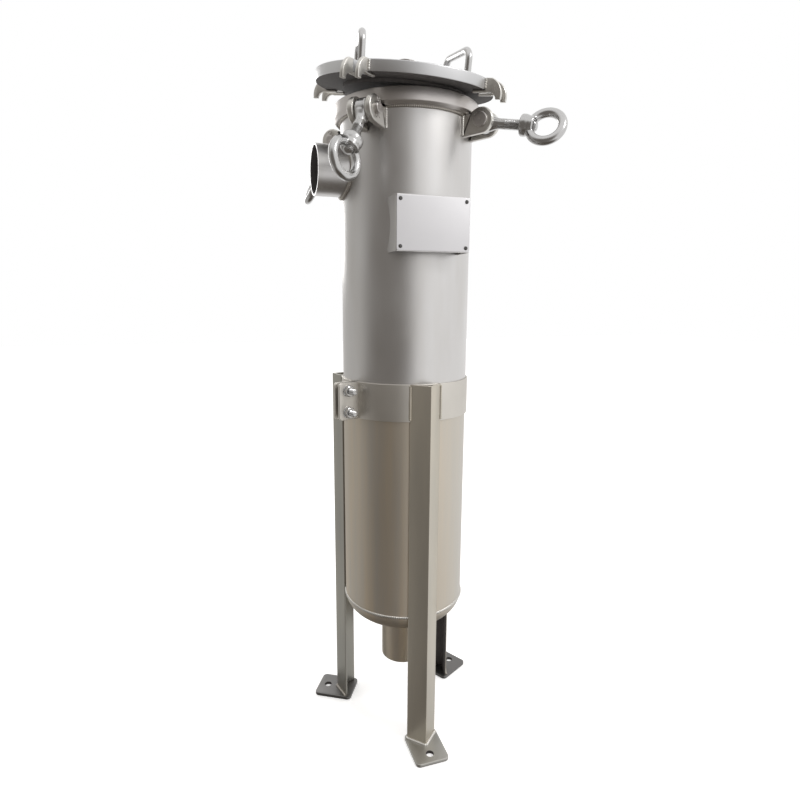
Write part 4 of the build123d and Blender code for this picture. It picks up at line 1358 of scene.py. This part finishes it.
def bag_surface(steps=240, rows=220):
    """Outer wall down to a domed end, then the inner wall back up; ripples stay inside R."""
    turn = np.linspace(0, TAU, steps, endpoint=False)[:, None]
    s = np.linspace(0, 1, rows)[None, :]
    dome = 24 * MM
    straight = (BAG_TOP - BAG_BOTTOM - dome) / (BAG_TOP - BAG_BOTTOM)
    along = np.clip(s / straight, 0, 1)
    bend = np.clip((s - straight) / (1 - straight), 0, 1) * np.pi / 2
    height = BAG_TOP - along * (BAG_TOP - BAG_BOTTOM - dome) - dome * np.sin(bend)
    soft = 0.9 * MM * np.sin(8 * turn + 3 * np.sin(9 * height)) * np.sin(TAU * height / 0.096)
    crease = 0.5 * MM * np.sin(3 * turn + 40 * height) + 0.3 * MM * np.sin(11 * turn - 25 * height)
    seam = 1.2 * MM * np.exp(-((np.angle(np.exp(1j * (turn - 0.6)))) / 0.03) ** 2)
    outer_r = (BAG_R - 2.2 * MM + soft + crease * 0.6 + seam) * np.cos(bend) + 1e-5
    inner_r = outer_r - 1.5 * MM * np.cos(bend)
    outer = polar(outer_r, turn, height)
    inner = polar(inner_r, turn, height + 1.5 * MM * np.sin(bend))
    return mesh_from_grid("bag_skin", np.concatenate([outer, inner[:, ::-1]], axis=1),
                          close_u=True, close_v=True)


bag = show(bag_surface(), "vessel", FELT, smooth_angle=80)
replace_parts(bag, "filter_bag")
collar_low, collar_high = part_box("bag_ring")
lip = float(collar_high[0] - collar_low[0]) / 2
base, top = float(collar_low[2]), float(collar_high[2])
collar_outline = [(lip - 10 * MM, base), (lip, base), (lip, base + 5 * MM), (lip - 2 * MM, top),
                  (lip - 8 * MM, top), (lip - 10 * MM, base + 5 * MM)]
collar = show(spun("bag_collar", rounded(collar_outline, 1.2 * MM), 160), "vessel", COLLAR)
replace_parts(collar, "bag_ring")

bail_low, bail_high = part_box("basket_bail")
BAIL_AZ = np.radians(25)
BAIL_HALF = 95 * MM
bail_top = float(bail_high[2]) - 4 * MM
legs_z = np.linspace(float(bail_low[2]) - 1 * MM, bail_top - BAIL_HALF, 12)
arch = arc((0, bail_top - BAIL_HALF), BAIL_HALF, 180, 0, 60)
flat = np.concatenate([np.stack([np.full(12, -BAIL_HALF), legs_z], 1), arch[1:-1],
                       np.stack([np.full(12, BAIL_HALF), legs_z[::-1]], 1)])
bail_path = np.stack([flat[:, 0] * np.cos(BAIL_AZ), flat[:, 0] * np.sin(BAIL_AZ), flat[:, 1]], 1)
bail = show(swept_tube("bail_skin", bail_path, 4 * MM, 20), "vessel", POLISHED)
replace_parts(bail, "basket_bail")
print("bag radius", round(float(BAG_R), 4), "bail top", round(float(bail_high[2]), 4))


# %% Finish the carried-over nodes
def refinish(name, material):
    """Swap the frame's plain material for a worked finish."""
    node = nodes[name]
    node.data.materials.clear()
    node.data.materials.append(material)


for name in ("support_basket", "basket_rim", "basket_floor", "basket_seat"):
    refinish(name, BASKET)
refinish("nameplate_bracket", BLASTED)
shown = [o.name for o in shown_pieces()]
print(len(shown), "pieces show")
